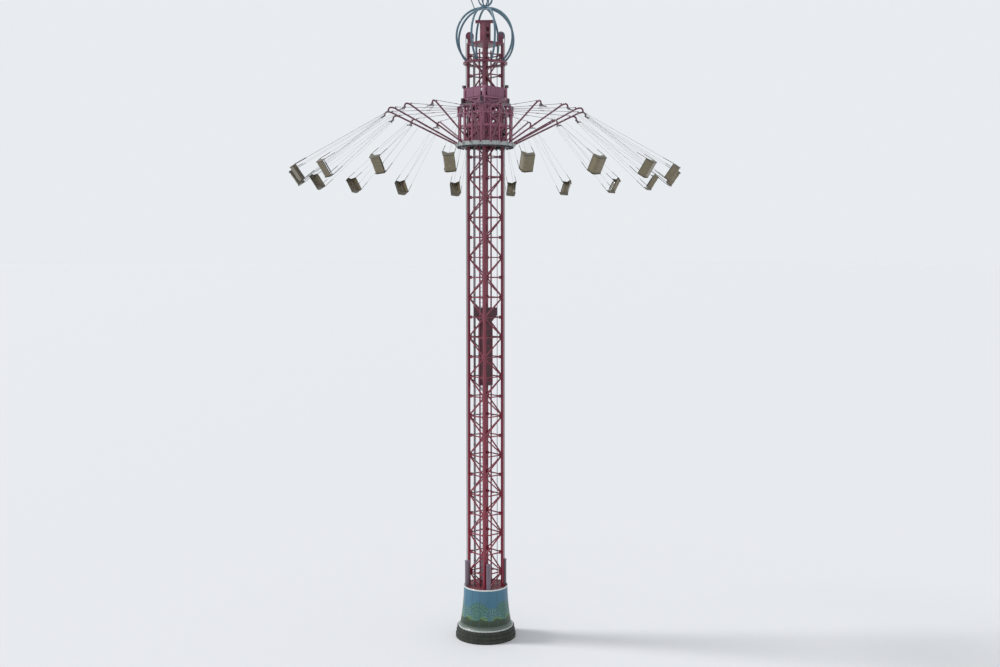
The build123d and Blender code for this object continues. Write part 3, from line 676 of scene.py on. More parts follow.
duct_offset = -0.24
clip_width = 0.086
slab((clip_width, clip_width, 0.03), (duct_offset, ladder_depth, 0), 0.003)
stack(first_joint + 0.4, bay_height, joint_count - 1)
finish_piece("duct_clips", "root", "galvanised", zinc)

# The head carries the hoist: a bed, a windowed block and a beam across one diagonal. A grooved
# ribbed sheave hangs from each end of the beam on a shaft between cheek plates.
dress(tower_red, "head_bed", "head_block", "sheave_cheeks", "head_gallery")
sheave_radius = 0.162
rope_circle = 0.15
half = 0.023
sheave_reach = 0.62
sheave_level = 24.24
shaft_radius = 0.028
sheave_ribs = 6
sheave_plum = sprayed_steel("sheave_plum", (116, 60, 84), (128, 74, 96), (70, 40, 54), 22, 25)
sheave_steel = bare_steel("sheave_steel", (120, 130, 142), (88, 96, 108), 0.35, metal=0.6)


def shift_mesh(matrix):
    """Moves or turns the mesh of the piece in hand."""
    piece = bpy.context.object
    piece.data.transform(matrix)
    return piece


def aimed(direction, axis="Z", up="Y"):
    """Matrix that turns a piece so that one of its axes points along a direction."""
    return Vector(direction).to_track_quat(axis, up).to_matrix().to_4x4()


def spool(radius, half, ease, rise, bore, sides):
    """Bar or sleeve along Z with eased ends, which rise past its half length."""
    return turn([
        (radius, -half), (radius, half), (radius - ease, half + rise), (bore, half + rise),
        (bore, -half - rise), (radius - ease, -half - rise),
    ], sides)


for hand, finish, name in ((1, sheave_steel, "right"), (-1, sheave_plum, "left")):
    rim = turn([
        (sheave_radius, -half),
        (sheave_radius, -half + 0.006),
        (rope_circle + 0.002, -0.009),
        (rope_circle - 0.004, 0),
        (rope_circle + 0.002, 0.009),
        (sheave_radius, half - 0.006),
        (sheave_radius, half),
        (sheave_radius - 0.012, half),
        (0.126, 0.012),
        (0.126, -0.012),
        (sheave_radius - 0.012, -half),
    ], sides=64)
    hub = spool(0.05, half, 0.006, 0.004, shaft_radius + 0.001, 32)
    web = turn([(0.128, 0.005), (0.048, 0.007), (0.048, -0.007), (0.128, -0.005)], sides=48)
    slab((0.084, 0.012, 0.03), (0.087, 0, 0), 0.004)
    ribs = set_out(ring_places(sheave_ribs, 15))
    shaft = spool(shaft_radius, 0.075, 0.006, 0.006, 0.004, 24)
    join_pieces(rim, hub, web, ribs, shaft)
    reach = hand * sheave_reach / sqrt(2)
    shift_mesh(moved(reach, -reach, sheave_level) @ aimed((1, 1, 0), "Z", "X"))
    finish_piece(f"sheave_{name}", "root", "rope_steel", finish, "head_sheaves")

rope_steel, shader, place = start_finish("rope_steel")
rope_lay = 0.016
lay = (side_of(place, 2) + (side_of(place, 0) + side_of(place, 1)) * 0.8) / rope_lay
strand = (lay.maths("FRACT") - 0.5).maths("ABSOLUTE") * 2
feed(
    shader,
    colour=strand.between(display(120, 116, 114), display(70, 66, 66)),
    roughness=strand * 0.2 + 0.4,
    height=strand * -0.0012,
)
shader.inputs["Metallic"].default_value = 0.8
dress(rope_steel, "hoist_ropes")

# The gallery under the crown is a round catwalk of crimson plate. A rolled rim with a raised
# lip stands round its edge, held by a ring of bolts.
gallery_low, gallery_high = heights("head_gallery")
gallery_radius = 0.875
rim_radius = gallery_radius + 0.003
rim = turn([
    (gallery_radius, gallery_low + 0.004),
    (rim_radius, gallery_low + 0.008),
    (rim_radius, gallery_high + 0.01),
    (gallery_radius - 0.006, gallery_high + 0.014),
    (gallery_radius - 0.01, gallery_high + 0.001),
    (gallery_radius - 0.01, gallery_low + 0.01),
], sides=96)
on_rim = moved(rim_radius, 0, (gallery_low + gallery_high) / 2) @ tipped("Y")
join_pieces(rim, bolts(0.009, 0.01, ring_places(32, place=on_rim)))
finish_piece("gallery_rim", "root", "tower_paint", tower_red)

# The crown is a cage of eight bent tubes in pale blue, welded to the gallery and gathered in a
# collar, with a small ribbed globe and a finial above it.
crown_radius = 1.19
crown_centre = 24.14
crown_tube = 0.042
crown_ribs = 8
collar_low = 25.295
collar_high = 25.365
collar_radius = 0.165
collar_edge = 0.006
orb_radius = 0.29
orb_tube = 0.024
orb_centre = 25.685
hub_radius = 0.119
hub_height = 0.06
finial_radius = 0.028
model_top = heights("crown_orb")[1]
rib_pairs = ring_places(crown_ribs, 22.5)[:crown_ribs // 2]
# The crown's blue runs from its shaded colour low down to its sunlit colour at the top: painted shade and
# sunlight.
crown_blue = sprayed_steel("crown_blue", (72, 98, 111), (90, 122, 138), (48, 62, 70), 23.0, 25.6)
dress(crown_blue, "lightning_conductor")


def hoop(radius, tube_radius, centre):
    """Upright ring of round tube, which makes two opposite ribs."""
    begin_piece(
        bpy.ops.mesh.primitive_torus_add, (0, 0, centre), rotation=(pi / 2, 0, 0),
        major_radius=radius, minor_radius=tube_radius, major_segments=112, minor_segments=14,
    )


hoop(crown_radius, crown_tube, crown_centre)
edit_all()
bpy.ops.mesh.bisect(plane_co=(0, 0, gallery_high), plane_no=(0, 0, 1), use_fill=True, clear_inner=True)
bpy.ops.object.mode_set(mode="OBJECT")
ribs = set_out(rib_pairs)
collar = turn([
    (collar_radius - collar_edge, collar_low - 2 * collar_edge),
    (collar_radius, collar_low - collar_edge),
    (collar_radius, collar_high - collar_edge),
    (collar_radius - collar_edge, collar_high),
    (0.05, collar_high),
    (0.05, collar_low - 2 * collar_edge),
], sides=48)
join_pieces(ribs, collar)
finish_piece("crown_cage", "root", "crown_paint", crown_blue, "crown_ribs")

hoop(orb_radius, orb_tube, orb_centre)
orb = set_out(rib_pairs)
foot_hub = turn([
    (hub_radius - 0.03, collar_high),
    (hub_radius, collar_high + 0.006),
    (hub_radius, collar_high + hub_height - 0.01),
    (hub_radius - 0.02, collar_high + hub_height),
], sides=40, closed=False)
orb_head = orb_centre + orb_radius + orb_tube
finial = turn([
    (hub_radius - 0.02, orb_head - hub_height),
    (hub_radius, orb_head - hub_height + 0.01),
    (hub_radius, orb_head - 0.008),
    (hub_radius - 0.03, orb_head + 0.002),
    (finial_radius + 0.004, orb_head + 0.006),
    (finial_radius, orb_head + 0.02),
    (finial_radius * 0.7, model_top - 0.03),
    (finial_radius * 0.95, model_top - 0.02),
    (finial_radius * 0.6, model_top - 0.004),
    (finial_radius * 0.2, model_top - 0.0005),
], sides=40, closed=False)
join_pieces(orb, foot_hub, finial)
finish_piece("crown_globe", "root", "crown_paint", crown_blue, "crown_orb")

# The counterweight is a stack of cast-iron slabs between the rails. Upright bars with cross
# straps hold it together, and two small sheaves above it take the falling ropes.
weight_low, weight_high = 10.32, 12.835
weight_height = weight_high - weight_low
weight_half = 0.2125
iron_step = 0.1
bar_across = 0.05
bar_thick = 0.006
bar_place = weight_half - bar_across / 2 - 0.018
iron, shader, place = start_finish("cast_iron")
gap = (side_of(place, 2) / iron_step).maths("FRACT") < 0.1
sand = spots(place, 0.008, 5)
rust = spots(place, 0.2).held(0.5, 0.75) * 0.5
feed(
    shader,
    colour=gap.between(rust.between(display(92, 64, 70), display(104, 66, 56)), display(34, 26, 28)),
    roughness=sand * 0.25 + 0.6,
    height=sand * 0.0012 - gap * 0.006,
)
dress(iron, "counterweight")
dress(zinc, "weight_sheaves")
slab(
    (bar_across, bar_thick, weight_height - 0.02),
    (bar_place, -weight_half - bar_thick / 2, (weight_low + weight_high) / 2), 0.001
)
uprights = set_out([Matrix.Identity(4), moved(-2 * bar_place, 0, 0)])
slab((2 * weight_half - 0.04, bar_thick, 0.05), (0, -weight_half - bar_thick * 1.5, 0), 0.001)
straps = stack(weight_low + 0.08 * weight_height, 0.28 * weight_height, 4)
join_pieces(uprights, straps)
set_out(ring_places(2))
finish_piece("weight_straps", "counterweight", "dark_steel", tower_red)

# The carriage is a square cage of crimson box section that climbs outside the legs. Crossed
# square bars fill its bays, with a knot plate welded over each crossing.
carriage_half = 0.575
carriage_inside = 0.53
carriage_levels = (20.095, 20.655, 21.215, 21.775)
cross_bar = 0.038
post_offset = 0.34
knot_size = 0.1
carriage_plum = sprayed_steel("carriage_plum", (146, 80, 100), (150, 98, 118), (100, 64, 78), 20, 22.2)
dress(carriage_plum, "carriage_frame")


def strut(first, last, width, soft=0.003):
    """Square bar between two points, with its sides upright."""
    run = Vector(last) - Vector(first)
    slab((run.length, width, width), (run.length / 2, 0, 0), soft)
    return shift_mesh(moved(*first) @ aimed(run, "X", "Z"))


bars = []
for low_level, high_level in zip(carriage_levels[:-1], carriage_levels[1:]):
    for x in (-carriage_inside, carriage_inside):
        bars.append(strut((-x, -carriage_half, low_level), (x, -carriage_half, high_level), cross_bar))
    knot_place = (0, -carriage_half + 0.024, (low_level + high_level) / 2)
    bars.append(slab((knot_size, 0.008, knot_size), knot_place, 0.002))
for x in (-post_offset, post_offset):
    foot = (x, -carriage_half, carriage_levels[0])
    bars.append(strut(foot, (x, -carriage_half, carriage_levels[-1]), cross_bar))
join_pieces(*bars)
set_out(ring_places(4))
finish_piece("carriage_braces", "carriage", "tower_paint", carriage_plum)

# Guard sheets line the cage inside its bars, so that nobody reaches the rollers. Two rows of
# small windows let the fitters see the rails.
sheet_face = 0.539
sheet_wall = 0.006
sheet_half = 0.44
sheet_low, sheet_high = 20.06, 21.735
window_rows = ((20.79, 21.05), (21.16, 21.42))
window_posts = ((-0.355, 0.17), (-0.15, 0.06), (0.03, 0.06), (0.215, 0.05), (0.375, 0.13))
sheets = [(0, 2 * sheet_half, sheet_low, window_rows[0][0])]
sheets.append((0, 2 * sheet_half, window_rows[0][1], window_rows[1][0]))
sheets.append((0, 2 * sheet_half, window_rows[1][1], sheet_high))
sheets += [(x, width, *row) for row in window_rows for x, width in window_posts]
join_pieces(*(
    slab((width, sheet_wall, high - low), (x, -sheet_face, (low + high) / 2), 0.001)
    for x, width, low, high in sheets
))
set_out(ring_places(4))
finish_piece("guard_sheets", "carriage", "tower_paint", carriage_plum)

# Pale plum channels slope up along each side of the cage's head, from two opposite corners to
# the corners between them, each with a narrow bar welded above it.
channel_low, channel_high = 21.47, 21.765
channel_face = 0.625
bar_rise = Vector((0, 0, 0.045))
panel_plum = sprayed_steel("panel_plum", (122, 68, 94), (134, 84, 108), (78, 46, 64), 21.4, 22.2)
dress(panel_plum, "collar_panels")
foot = Vector((-channel_face, -channel_face, channel_low))
channels = []
for x, y in ((carriage_inside, -channel_face), (-channel_face, carriage_inside)):
    head = Vector((x, y, channel_high))
    channels.append(strut(foot, head, 0.05, 0.006))
    channels.append(strut(foot + bar_rise, head + bar_rise, 0.024, 0.004))
join_pieces(*channels)
set_out(ring_places(2))
finish_piece("head_channels", "carriage", "tower_paint", panel_plum)

# Sixteen rubber-tyred rollers run on the legs' outer faces. Each turns on a pin between two
# flat fork plates of dark steel, which are welded to the cage.
fork_size = (0.008, 0.06, 0.11)
fork_spread = 0.034
roller_axis = 0.5705
roller_level = 20.375
roller_gap = 1.12
dark_steel = bare_steel("dark_steel", (78, 74, 78), (52, 48, 52), 0.45, metal=0.5)


def rubber(name, dark, light, patch, roughness):
    """Dull rubber with a cloudy bloom in patches of this size."""
    finish, shader, place = start_finish(name)
    bloom = spots(place, patch)
    feed(shader, colour=bloom.between(display(*dark), display(*light)), roughness=bloom * 0.2 + roughness)
    return finish


dress(rubber("roller_tread", (40, 38, 40), (66, 62, 62), 0.02, 0.6), "carriage_rollers")
forks = [slab(fork_size, (tower_half + x, -roller_axis, 0), 0.002) for x in (-fork_spread, fork_spread)]
spool(0.012, 0.045, 0.003, 0.004, 0.002, 16)
join_pieces(*forks, shift_mesh(moved(tower_half, -roller_axis, 0) @ tipped("Y")))
set_out([Matrix.Identity(4), moved(-2 * tower_half, 0, 0)])
stack(roller_level, roller_gap, 2)
set_out(ring_places(4))
finish_piece("roller_forks", "carriage", "dark_steel", dark_steel)

# The slewing bearing joins the rotor to the carriage: a ground ring with a grease groove, on a
# flange with a ring of bolts under it.
bearing_low, bearing_high = heights("slewing_bearing")
flange_radius = 0.985
flange_edge = 0.003
flange_top = bearing_low + 0.0295
race_radius = 0.93
race_bore = 0.762
race_edge = 0.006
groove = 0.008
race = turn([
    (flange_radius, bearing_low + flange_edge),
    (flange_radius, flange_top - 0.0025),
    (flange_radius - flange_edge, flange_top),
    (race_radius, flange_top),
    (race_radius, bearing_low + 0.09),
    (race_radius - groove, bearing_low + 0.094),
    (race_radius - groove, bearing_low + 0.106),
    (race_radius, bearing_low + 0.11),
    (race_radius, bearing_high - race_edge),
    (race_radius - race_edge, bearing_high),
    (race_bore + race_edge, bearing_high),
    (race_bore, bearing_high - race_edge),
    (race_bore, bearing_low),
    (flange_radius - flange_edge, bearing_low),
], sides=120)
under_flange = moved(0.955, 0, bearing_low) @ tipped("X", 2)
join_pieces(race, bolts(0.012, 0.014, ring_places(36, place=under_flange)))
finish_piece("bearing_race", "carriage", "dark_steel", dark_steel, "slewing_bearing")

# The collar panels round the carriage's head are plum sheet in a raised frame. Grey-brown
# switch boxes with rain hoods stand on the two outer corners.
panel_half = 0.45
panel_low, panel_high = heights("collar_panels")
panel_rise = panel_high - panel_low
frame_bar = 0.03
frame_stand = 0.008
frame_face = -0.635 - frame_stand / 2
edge_bars = [
    slab((2 * panel_half, frame_stand, frame_bar), (0, frame_face, level), 0.002)
    for level in (panel_low + frame_bar / 2, panel_high - frame_bar / 2)
]
edge_bars += [
    slab(
        (frame_bar, frame_stand, panel_rise),
        (hand * (panel_half - frame_bar / 2), frame_face, panel_low + panel_rise / 2), 0.002
    )
    for hand in (-1, 0, 1)
]
join_pieces(*edge_bars)
set_out(ring_places(4))
finish_piece("panel_frames", "carriage", "tower_paint", panel_plum)

box_brown = sprayed_steel("box_brown", (84, 72, 76), (92, 80, 84), (54, 46, 48), 21, 23)
carriage_top = heights("carriage_frame")[1]
cabinet = slab((0.11, 0.11, 0.1), (0.6, -0.6, carriage_top + 0.05), 0.006)
door = slab((0.08, 0.008, 0.07), (0.6, -0.657, carriage_top + 0.048), 0.003)
hood = slab((0.13, 0.13, 0.01), (0.6, -0.602, carriage_top + 0.105), 0.004)
join_pieces(cabinet, door, hood)
set_out(ring_places(2))
finish_piece("switch_boxes", "carriage", "dark_steel", box_brown)

# Four drive units turn the rotor. Each is a cast gearbox on the carriage's upright with a finned
# motor standing on it.
drive_low, drive_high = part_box("drive_units")
drive_x = drive_high[0] - 0.075
drive_y = drive_high[1] - 0.075
drive_foot, drive_top = drive_low[2], drive_high[2]
fin_count = 9
fin_pitch = 0.018
motor_core = 0.056
fin_reach = 0.072
drive_plum = sprayed_steel("drive_plum", (88, 62, 74), (98, 74, 86), (54, 40, 46), 21, 22)
gearbox = slab((0.15, 0.15, 0.11), (0, 0, drive_foot + 0.055), 0.012)
fins = [(motor_core, drive_foot + 0.11)]
for fin in range(fin_count):
    foot = drive_foot + 0.118 + fin * fin_pitch
    fins += [
        (motor_core, foot), (fin_reach, foot + 0.003), (fin_reach, foot + 0.008), (motor_core, foot + 0.011),
    ]
fins += [(0.066, drive_top - 0.04), (0.066, drive_top - 0.012), (0.054, drive_top - 0.001)]
motor = turn(fins, sides=32, closed=False)
flange_bolts = bolts(0.01, 0.012, ring_places(4, place=moved(0.06, 0.06, drive_foot + 0.109)))
join_pieces(gearbox, motor, flange_bolts)
set_out(moved(x * drive_x, y * drive_y, 0) @ turned(90 if x * y > 0 else 0) for x, y in corners)
finish_piece("drive_motors", "carriage", "dark_steel", drive_plum, "drive_units")

# The rotor's ring is a grey box-section hoop round the bearing. Dark knee brackets are welded
# under it, and a cover plate closes each joint between its segments.
ring_grey = sprayed_steel("ring_grey", (166, 172, 170), (174, 180, 178), (104, 110, 110), 19.8, 20.2)
rotor_low, rotor_high = heights("rotor_ring")
rotor_radius = 1.143
rotor_bore = 0.9307
arm_count = 18


def eased_band(outer, bore, low, high, edge, bore_edge, sides):
    """Hoop of rectangular section with its outer and inner edges eased."""
    return turn([
        (outer, low + edge), (outer, high - edge), (outer - edge, high), (bore + bore_edge, high),
        (bore, high - bore_edge), (bore, low + bore_edge), (bore + bore_edge, low), (outer - edge, low),
    ], sides)


rotor_band = eased_band(rotor_radius, rotor_bore, rotor_low, rotor_high, 0.008, 0.006, 144)
cover_size = (0.006, 0.05, rotor_high - rotor_low - 0.02)
slab(cover_size, (rotor_radius + 0.001, 0, (rotor_low + rotor_high) / 2), 0.001)
join_pieces(rotor_band, set_out(ring_places(arm_count, 10)))
finish_piece("rotor_hoop", "rotor", "ring_paint", ring_grey, "rotor_ring")

slab((0.1, 0.03, 0.06), (rotor_radius - 0.062, 0, rotor_low - 0.03), 0.01)
set_out(ring_places(2 * arm_count, 5))
finish_piece("ring_knees", "rotor", "dark_steel", dark_steel)

# Eighteen posts carry a mid hoop and the double-plate top ring. The plates have eased edges; a
# short post stands between them over each arm, a web between each two, and bolts on top.
dress(carriage_plum, "rotor_posts")
mid_radius, mid_bore = 1.0297, 0.9847
top_low, top_high = heights("rotor_top_ring")
top_radius = 1.14
top_bore = 1.01
top_plate = 0.026
ring_edge = 0.005
eased_band(mid_radius, mid_bore, *heights("rotor_mid_ring"), ring_edge, ring_edge, 108)
finish_piece("mid_hoop", "rotor", "tower_paint", carriage_plum, "rotor_mid_ring")

top_pieces = [
    eased_band(top_radius, top_bore, foot, foot + top_plate, ring_edge, ring_edge, 108)
    for foot in (top_low, top_high - top_plate)
]
gap_height = top_high - top_low - 2 * top_plate + 0.002
gap_middle = (top_low + top_high) / 2
slab((0.056, 0.056, gap_height), (1.058, 0, gap_middle), 0.003)
top_pieces.append(set_out(ring_places(arm_count)))
slab((0.09, 0.012, gap_height), (1.08, 0, gap_middle), 0.002)
top_pieces.append(set_out(ring_places(arm_count, 10)))
top_pieces.append(bolts(0.009, 0.01, ring_places(2 * arm_count, 5, moved(1.11, 0, top_high))))
join_pieces(*top_pieces)
finish_piece("top_ring_plates", "rotor", "tower_paint", carriage_plum, "rotor_top_ring")

# Eighteen arms of round tube spread from bolted feet on the ring. Each bends level, then turns
# down into the hook that carries a chair, and has a lug on top for its tie rod.
arm_radius = 0.033
arm_foot = Vector((1.175, 0, 19.97))
elbow = Vector((3.79, 0, 21.25))
shoulder = Vector((4.0, 0, 21.25))
arm_end = Vector((4.0, 0, 21.067))
hinge_radius = 4.0
hinge_level = 21.1
elbow_bend = 0.5
hook_bend = 0.12
bend_steps = 10
foot_level = 19.95
arm_plum = sprayed_steel("arm_plum", (106, 40, 58), (94, 46, 62), (56, 28, 38), 19.8, 21.3, gloss=0.3)


def bend_points(before, corner, after, radius, steps):
    """Points of the arc that rounds a corner between two straight runs."""
    before, corner, after = Vector(before), Vector(corner), Vector(after)
    back = (before - corner).normalized()
    onward = (after - corner).normalized()
    half = back.angle(onward) / 2
    hub = corner + (back + onward).normalized() * radius / sin(half)
    first = corner + back * radius / tan(half) - hub
    last = corner + onward * radius / tan(half) - hub
    return [hub + first.slerp(last, step / steps).normalized() * radius for step in range(steps + 1)]


def tube(points, radius, smooth, cyclic=False):
    """Round tube along a line of points, capped at its ends."""
    bpy.ops.object.select_all(action="DESELECT")
    line = bpy.data.curves.new("tube", "CURVE")
    line.dimensions = "3D"
    line.bevel_depth = radius
    line.bevel_resolution = smooth
    line.use_fill_caps = True
    run = line.splines.new("POLY")
    run.points.add(len(points) - 1)
    for place, point in zip(run.points, points):
        place.co = (*point, 1)
    run.use_cyclic_u = cyclic
    piece = bpy.data.objects.new("tube", line)
    scene.collection.objects.link(piece)
    piece.select_set(True)
    bpy.context.view_layer.objects.active = piece
    bpy.ops.object.convert(target="MESH")
    return bpy.context.object


foot_plate = slab((0.018, 0.13, 0.144), (rotor_radius + 0.012, 0, foot_level), 0.003)
foot_block = slab((0.05, 0.07, 0.12), (rotor_radius + 0.04, 0, foot_level + 0.002), 0.008)
join_pieces(foot_plate, foot_block, bolts(0.01, 0.012, (
    moved(rotor_radius + 0.021, y * 0.05, foot_level + z * 0.052) @ tipped("Y") for y, z in corners
)))
set_out(ring_places(arm_count))
finish_piece("arm_feet", "rotor", "ring_paint", ring_grey, "arms")

elbow_run = bend_points(arm_foot, elbow, shoulder, elbow_bend, bend_steps)
hook_run = bend_points(elbow, shoulder, arm_end, hook_bend, bend_steps)
arm = tube([arm_foot, *elbow_run, *hook_run, arm_end], arm_radius, 5)
spool(0.036, 0.036, 0.004, 0.002, 0.017, 28)
eye = shift_mesh(moved(hinge_radius, 0, hinge_level) @ tipped("X"))
lug = slab((0.05, 0.014, 0.1), (3.705, 0, 21.243), 0.006)
spool(arm_radius + 0.005, 0.04, 0.005, 0.004, 0.02, 24)
cuff = shift_mesh(moved(*arm_foot.lerp(elbow, 0.5)) @ aimed(elbow - arm_foot))
join_pieces(arm, eye, lug, cuff)
set_out(ring_places(arm_count))
finish_piece("arm_tubes", "rotor", "tower_paint", arm_plum, "arms")

# A tie rod holds up each arm from the top ring: round bar with thick ends, and a turnbuckle
# near its middle.
rod_radius = 0.009
rod_start = Vector((1.0863, 0, 21.345))
rod_end = Vector((3.6897, 0, 21.273))
rod_length = (rod_end - rod_start).length
buckle_at = rod_length * 0.45
tie_grey = bare_steel("tie_grey", (134, 112, 124), (96, 76, 88), 0.4, metal=0.5)
turn([
    (0.014, 0.0), (0.014, 0.07), (rod_radius, 0.08), (rod_radius, buckle_at - 0.09),
    (0.013, buckle_at - 0.085), (0.016, buckle_at - 0.05), (0.016, buckle_at + 0.05),
    (0.013, buckle_at + 0.085), (rod_radius, buckle_at + 0.09), (rod_radius, rod_length - 0.08),
    (0.014, rod_length - 0.07), (0.014, rod_length),
], sides=12, closed=False)
shift_mesh(moved(*rod_start) @ aimed(rod_end - rod_start))
set_out(ring_places(arm_count))
finish_piece("tie_bars", "rotor", "galvanised", tie_grey, "tie_rods")

# The chairs' sides are thick olive plastic sheet, cut to a low front and a high back. A chair is
# drawn as it hangs straight down, then swung out with its chains at every arm.
tilt = radians(55.3)
chair_places = ring_places(
    arm_count, place=moved(hinge_radius, 0, hinge_level) @ Matrix.Rotation(-tilt, 4, "Y")
)
seat_half = 0.325
side_sheet = 0.016
side_middle = seat_half - 0.01
side_outline = (
    (0.205, -4.38), (-0.09, -4.44), (-0.17, -4.41), (-0.245, -4.135),
    (-0.185, -4.135), (-0.02, -4.256), (0.165, -4.195), (0.205, -4.195),
)


def moulded(name, dark, light, roughness, coat=0.0):
    """Moulded plastic with a fine grain, paler where riders rub it."""
    finish, shader, place = start_finish(name)
    speckle = spots(place, 0.004, 3)
    rubbed = spots(place, 0.09).held(0.48, 0.72)
    feed(
        shader,
        colour=rubbed.between(display(*dark), display(*light)),
        roughness=speckle * 0.12 + rubbed * 0.15 + roughness,
        height=speckle * 0.0004,
    )
    shader.inputs["Coat Weight"].default_value = coat
    return finish


def hang_chairs(part, material):
    """Hangs a copy of the pattern in hand from every arm, each with its own mesh."""
    pattern = paint(material, 40)
    for number, place in enumerate(chair_places):
        chair = f"chair_{number + 1:02d}"
        copy = copied(pattern, place)
        copy.name = f"{chair}_{part}"
        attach(copy, chair)
        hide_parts(chair)
    bpy.data.objects.remove(pattern)


def cut_sheet(outline, thickness, centre, corner_radius):
    """Upright sheet with rounded corners, cut to an outline in Y and Z."""
    sheet = begin_piece(bpy.ops.mesh.primitive_circle_add, vertices=len(outline), radius=1)
    for vertex, (y, z) in zip(sheet.data.vertices, outline):
        vertex.co = (centre - thickness / 2, y, z)
    edit_all()
    bpy.ops.mesh.bevel(offset=corner_radius, segments=4, affect="VERTICES")
    bpy.ops.mesh.select_all(action="SELECT")
    bpy.ops.mesh.edge_face_add()
    bpy.ops.mesh.extrude_region_move(TRANSFORM_OT_translate={"value": (thickness, 0, 0)})
    end_edit()
    soften(0.004)
    return sheet


join_pieces(*(cut_sheet(side_outline, side_sheet, x, 0.018) for x in (-side_middle, side_middle)))
hang_chairs("sides", moulded("seat_olive", (84, 78, 60), (100, 94, 76), 0.32))

# Each chair's shell is tan moulded plastic for two riders, with dished seats and a rolled
# front edge. It is screwed between the sides.
pan_half = 0.3045
pan_columns = 16
pan_rows = 14
pan_wall = 0.016
hollow = 0.0096
roll = 0.012
roll_share = 0.12
pan_front, pan_heel, pan_back_foot, pan_back_head = (
    Vector((0, y, z)) for y, z in ((0.205, -4.35), (-0.1, -4.412), (-0.15, -4.385), (-0.215, -4.135))
)
front_run = (pan_heel - pan_front).length
heel_run = (pan_back_foot - pan_heel).length
back_run = (pan_back_head - pan_back_foot).length
under_pan = Vector((0, -0.35, -1)).normalized()
behind_back = Vector((0, -1, -0.3)).normalized()
shell = begin_piece(
    bpy.ops.mesh.primitive_grid_add, x_subdivisions=pan_columns, y_subdivisions=pan_rows, size=2
)
for vertex in shell.data.vertices:
    across, share = vertex.co.x, (vertex.co.y + 1) / 2
    gone = share * (front_run + heel_run + back_run)
    if gone < front_run:
        point = pan_front.lerp(pan_heel, gone / front_run)
    elif gone < front_run + heel_run:
        point = pan_heel.lerp(pan_back_foot, (gone - front_run) / heel_run)
    else:
        point = pan_back_foot.lerp(pan_back_head, (gone - front_run - heel_run) / back_run)
    dish = sin(pi * abs(across)) ** 2 * sin(pi * min(1, share * 1.1)) * hollow
    dished = point + (under_pan if gone < front_run + heel_run / 2 else behind_back) * dish
    front_drop = max(0, 1 - share / roll_share) ** 2 * roll
    vertex.co = (across * pan_half, dished.y, dished.z - front_drop)
wall = shell.modifiers.new("wall", "SOLIDIFY")
wall.thickness = pan_wall
wall.offset = 0
bpy.ops.object.modifier_apply(modifier="wall")
smooth = shell.modifiers.new("smooth", "SUBSURF")
smooth.levels = smooth.render_levels = 1
bpy.ops.object.modifier_apply(modifier="smooth")
hang_chairs("shell", moulded("seat_tan", (112, 102, 78), (130, 120, 96), 0.28, coat=0.25))

# Dark rubber edging is pressed over the rims of the sides and the shell. A soft sleeve pads the
# lap bar, and rubber hoses cover the chains beside the riders.
edging_radius = 0.007
edging_bend = 0.012
rim_roll = 0.011
hose_radius = 0.01
hose_from, hose_to = 0.03, 0.45
sleeve_half = 0.2
on_lap = moved(0, 0.165, -4.27) @ tipped("Y")
chain_corners = [
    (x, y, foot_y, foot_z)
    for x in (-1, 1) for y, foot_y, foot_z in ((-1, -0.218, -4.134), (1, 0.198, -4.194))
]
chain_ends = [
    (Vector((x * 0.012, y * 0.143, -0.153)), Vector((x * 0.315, foot_y, foot_z)))
    for x, y, foot_y, foot_z in chain_corners
]
edges = []
for x in (-side_middle, side_middle):
    rounded = []
    for number, corner in enumerate(side_outline):
        before = side_outline[number - 1]
        after = side_outline[(number + 1) % len(side_outline)]
        rounded += bend_points((x, *before), (x, *corner), (x, *after), edging_bend, 3)
    edges.append(tube(rounded, edging_radius, 2, cyclic=True))
for y, z in ((0.203, -4.352), (-0.215, -4.14)):
    edges.append(tube([(-pan_half, y, z), (pan_half, y, z)], rim_roll, 2))
turn([
    (0.019, -sleeve_half), (0.0195, -0.02), (0.016, 0), (0.0195, 0.02), (0.019, sleeve_half),
    (0.013, sleeve_half + 0.004), (0.013, -sleeve_half - 0.004),
], sides=14)
sleeve = shift_mesh(on_lap)
for top, foot in chain_ends:
    upward = (top - foot).normalized()
    edges.append(tube([foot + upward * hose_from, foot + upward * hose_to], hose_radius, 2))
join_pieces(*edges, sleeve)
hang_chairs("edging", rubber("edge_rubber", (46, 42, 38), (74, 68, 60), 0.03, 0.55))

# The yoke hangs on a headed pin under the arm's hook: two flat cheeks and a spreader of round
# bar. Welded shackles take the chains, and the lap bar is drawn tube.
yoke_drop = 0.13
cheek_size = (0.044, 0.011, 0.17)
pin_radius = 0.0158
lap_radius = 0.012
cheeks = [slab(cheek_size, (0, y, -0.052), 0.004) for y in (0.045, -0.045)]
turn([
    (pin_radius, -0.05), (pin_radius, 0.05), (0.022, 0.051), (0.022, 0.06), (0.006, 0.062),
    (0.006, -0.062), (0.022, -0.06), (0.022, -0.051),
], sides=12)
pin = shift_mesh(tipped("X"))
spool(0.022, 0.144, 0.006, 0.006, 0.005, 16)
spreader = shift_mesh(moved(0, 0, -yoke_drop) @ tipped("X"))
turn([
    (lap_radius, -pan_half), (lap_radius, pan_half), (0.004, pan_half + 0.001), (0.004, -pan_half - 0.001),
], sides=12)
lap_bar = shift_mesh(on_lap)
shackles = []
for x, y, foot_y, foot_z in chain_corners:
    shackles.append(slab((0.008, 0.03, 0.034), (x * 0.012, y * 0.138, -0.158), 0.003))
    shackles.append(slab((0.026, 0.012, 0.03), (x * 0.314, foot_y, foot_z - 0.006), 0.003))
join_pieces(*cheeks, pin, spreader, lap_bar, *shackles)
yoke_steel = bare_steel("yoke_steel", (126, 122, 126), (92, 88, 92), 0.38, metal=0.7)
hang_chairs("yoke", yoke_steel)

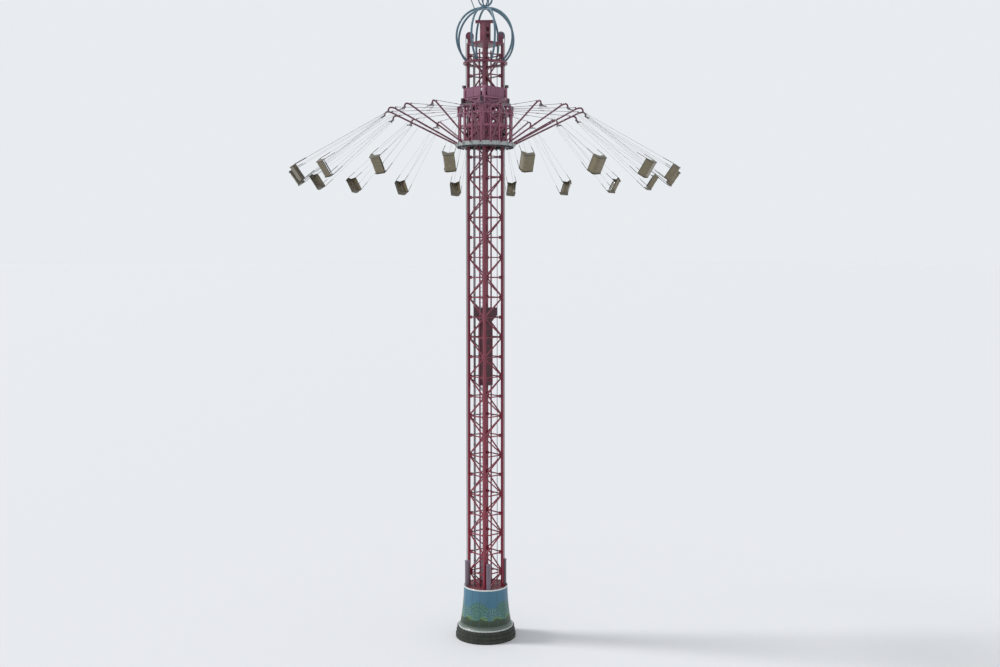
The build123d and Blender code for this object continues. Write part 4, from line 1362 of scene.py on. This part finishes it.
# Four chains run from the yoke's spreader to the seat's corners. Their links are bent from
# round steel wire, welded shut, and each stands a quarter turn from the next.
link_pitch = 0.044
link_wire = 0.0026
link_width = 0.0044
link_stretch = link_pitch / 2 - link_width + link_wire * 0.6
link = begin_piece(
    bpy.ops.mesh.primitive_torus_add, major_radius=link_width, minor_radius=link_wire,
    major_segments=8, minor_segments=3,
)
for vertex in link.data.vertices:
    vertex.co.x += link_stretch if vertex.co.x > 0 else -link_stretch
links = []
for top, foot in chain_ends:
    run = foot - top
    count = round(run.length / link_pitch)
    for number in range(count):
        middle = moved(*(top + run * (number + 0.5) / count))
        links.append(middle @ aimed(run, "X", "Z") @ tipped("X", number % 2 + 0.5))
set_out(links)
chain_steel = bare_steel("chain_steel", (176, 174, 176), (146, 144, 148), 0.4, metal=0.6)
hang_chairs("chains", chain_steel)

# The studio: a wide pale floor, a pale surround and one broad soft lamp from the upper left.
floor_size = 6000
floor = begin_piece(bpy.ops.mesh.primitive_plane_add, size=floor_size)
floor.name = "studio_floor"
floor_finish, shader = start_finish("floor_paint")[:2]
shader.inputs["Base Color"].default_value = display(214, 215, 216)
shader.inputs["Roughness"].default_value = 0.9
floor.data.materials.append(floor_finish)

surround = bpy.data.worlds.new("surround")
surround.use_nodes = True
scene.world = surround
tree = surround.node_tree
background = tree.nodes["Background"]
camera_ray = Coat(tree).node("LightPath", output=0)
glossy_ray = Coat(tree).node("LightPath", output=3)
seen = camera_ray.maths("MAXIMUM", glossy_ray).between((0.7, 0.72, 0.76, 1), display(232, 236, 240))
tree.links.new(seen.socket, background.inputs["Color"])
background.inputs["Strength"].default_value = 1.0

lamp = bpy.data.lights.new("studio_lamp", "SUN")
lamp.energy = 2.0
lamp.angle = radians(12)
lamp_object = bpy.data.objects.new("studio_lamp", lamp)
lamp_side = camera_azimuth - radians(98)
lamp_rise = radians(48)
lamp_from = Vector((cos(lamp_side) * cos(lamp_rise), sin(lamp_side) * cos(lamp_rise), sin(lamp_rise)))
lamp_object.rotation_euler = lamp_from.to_track_quat("Z", "Y").to_euler()
scene.collection.objects.link(lamp_object)
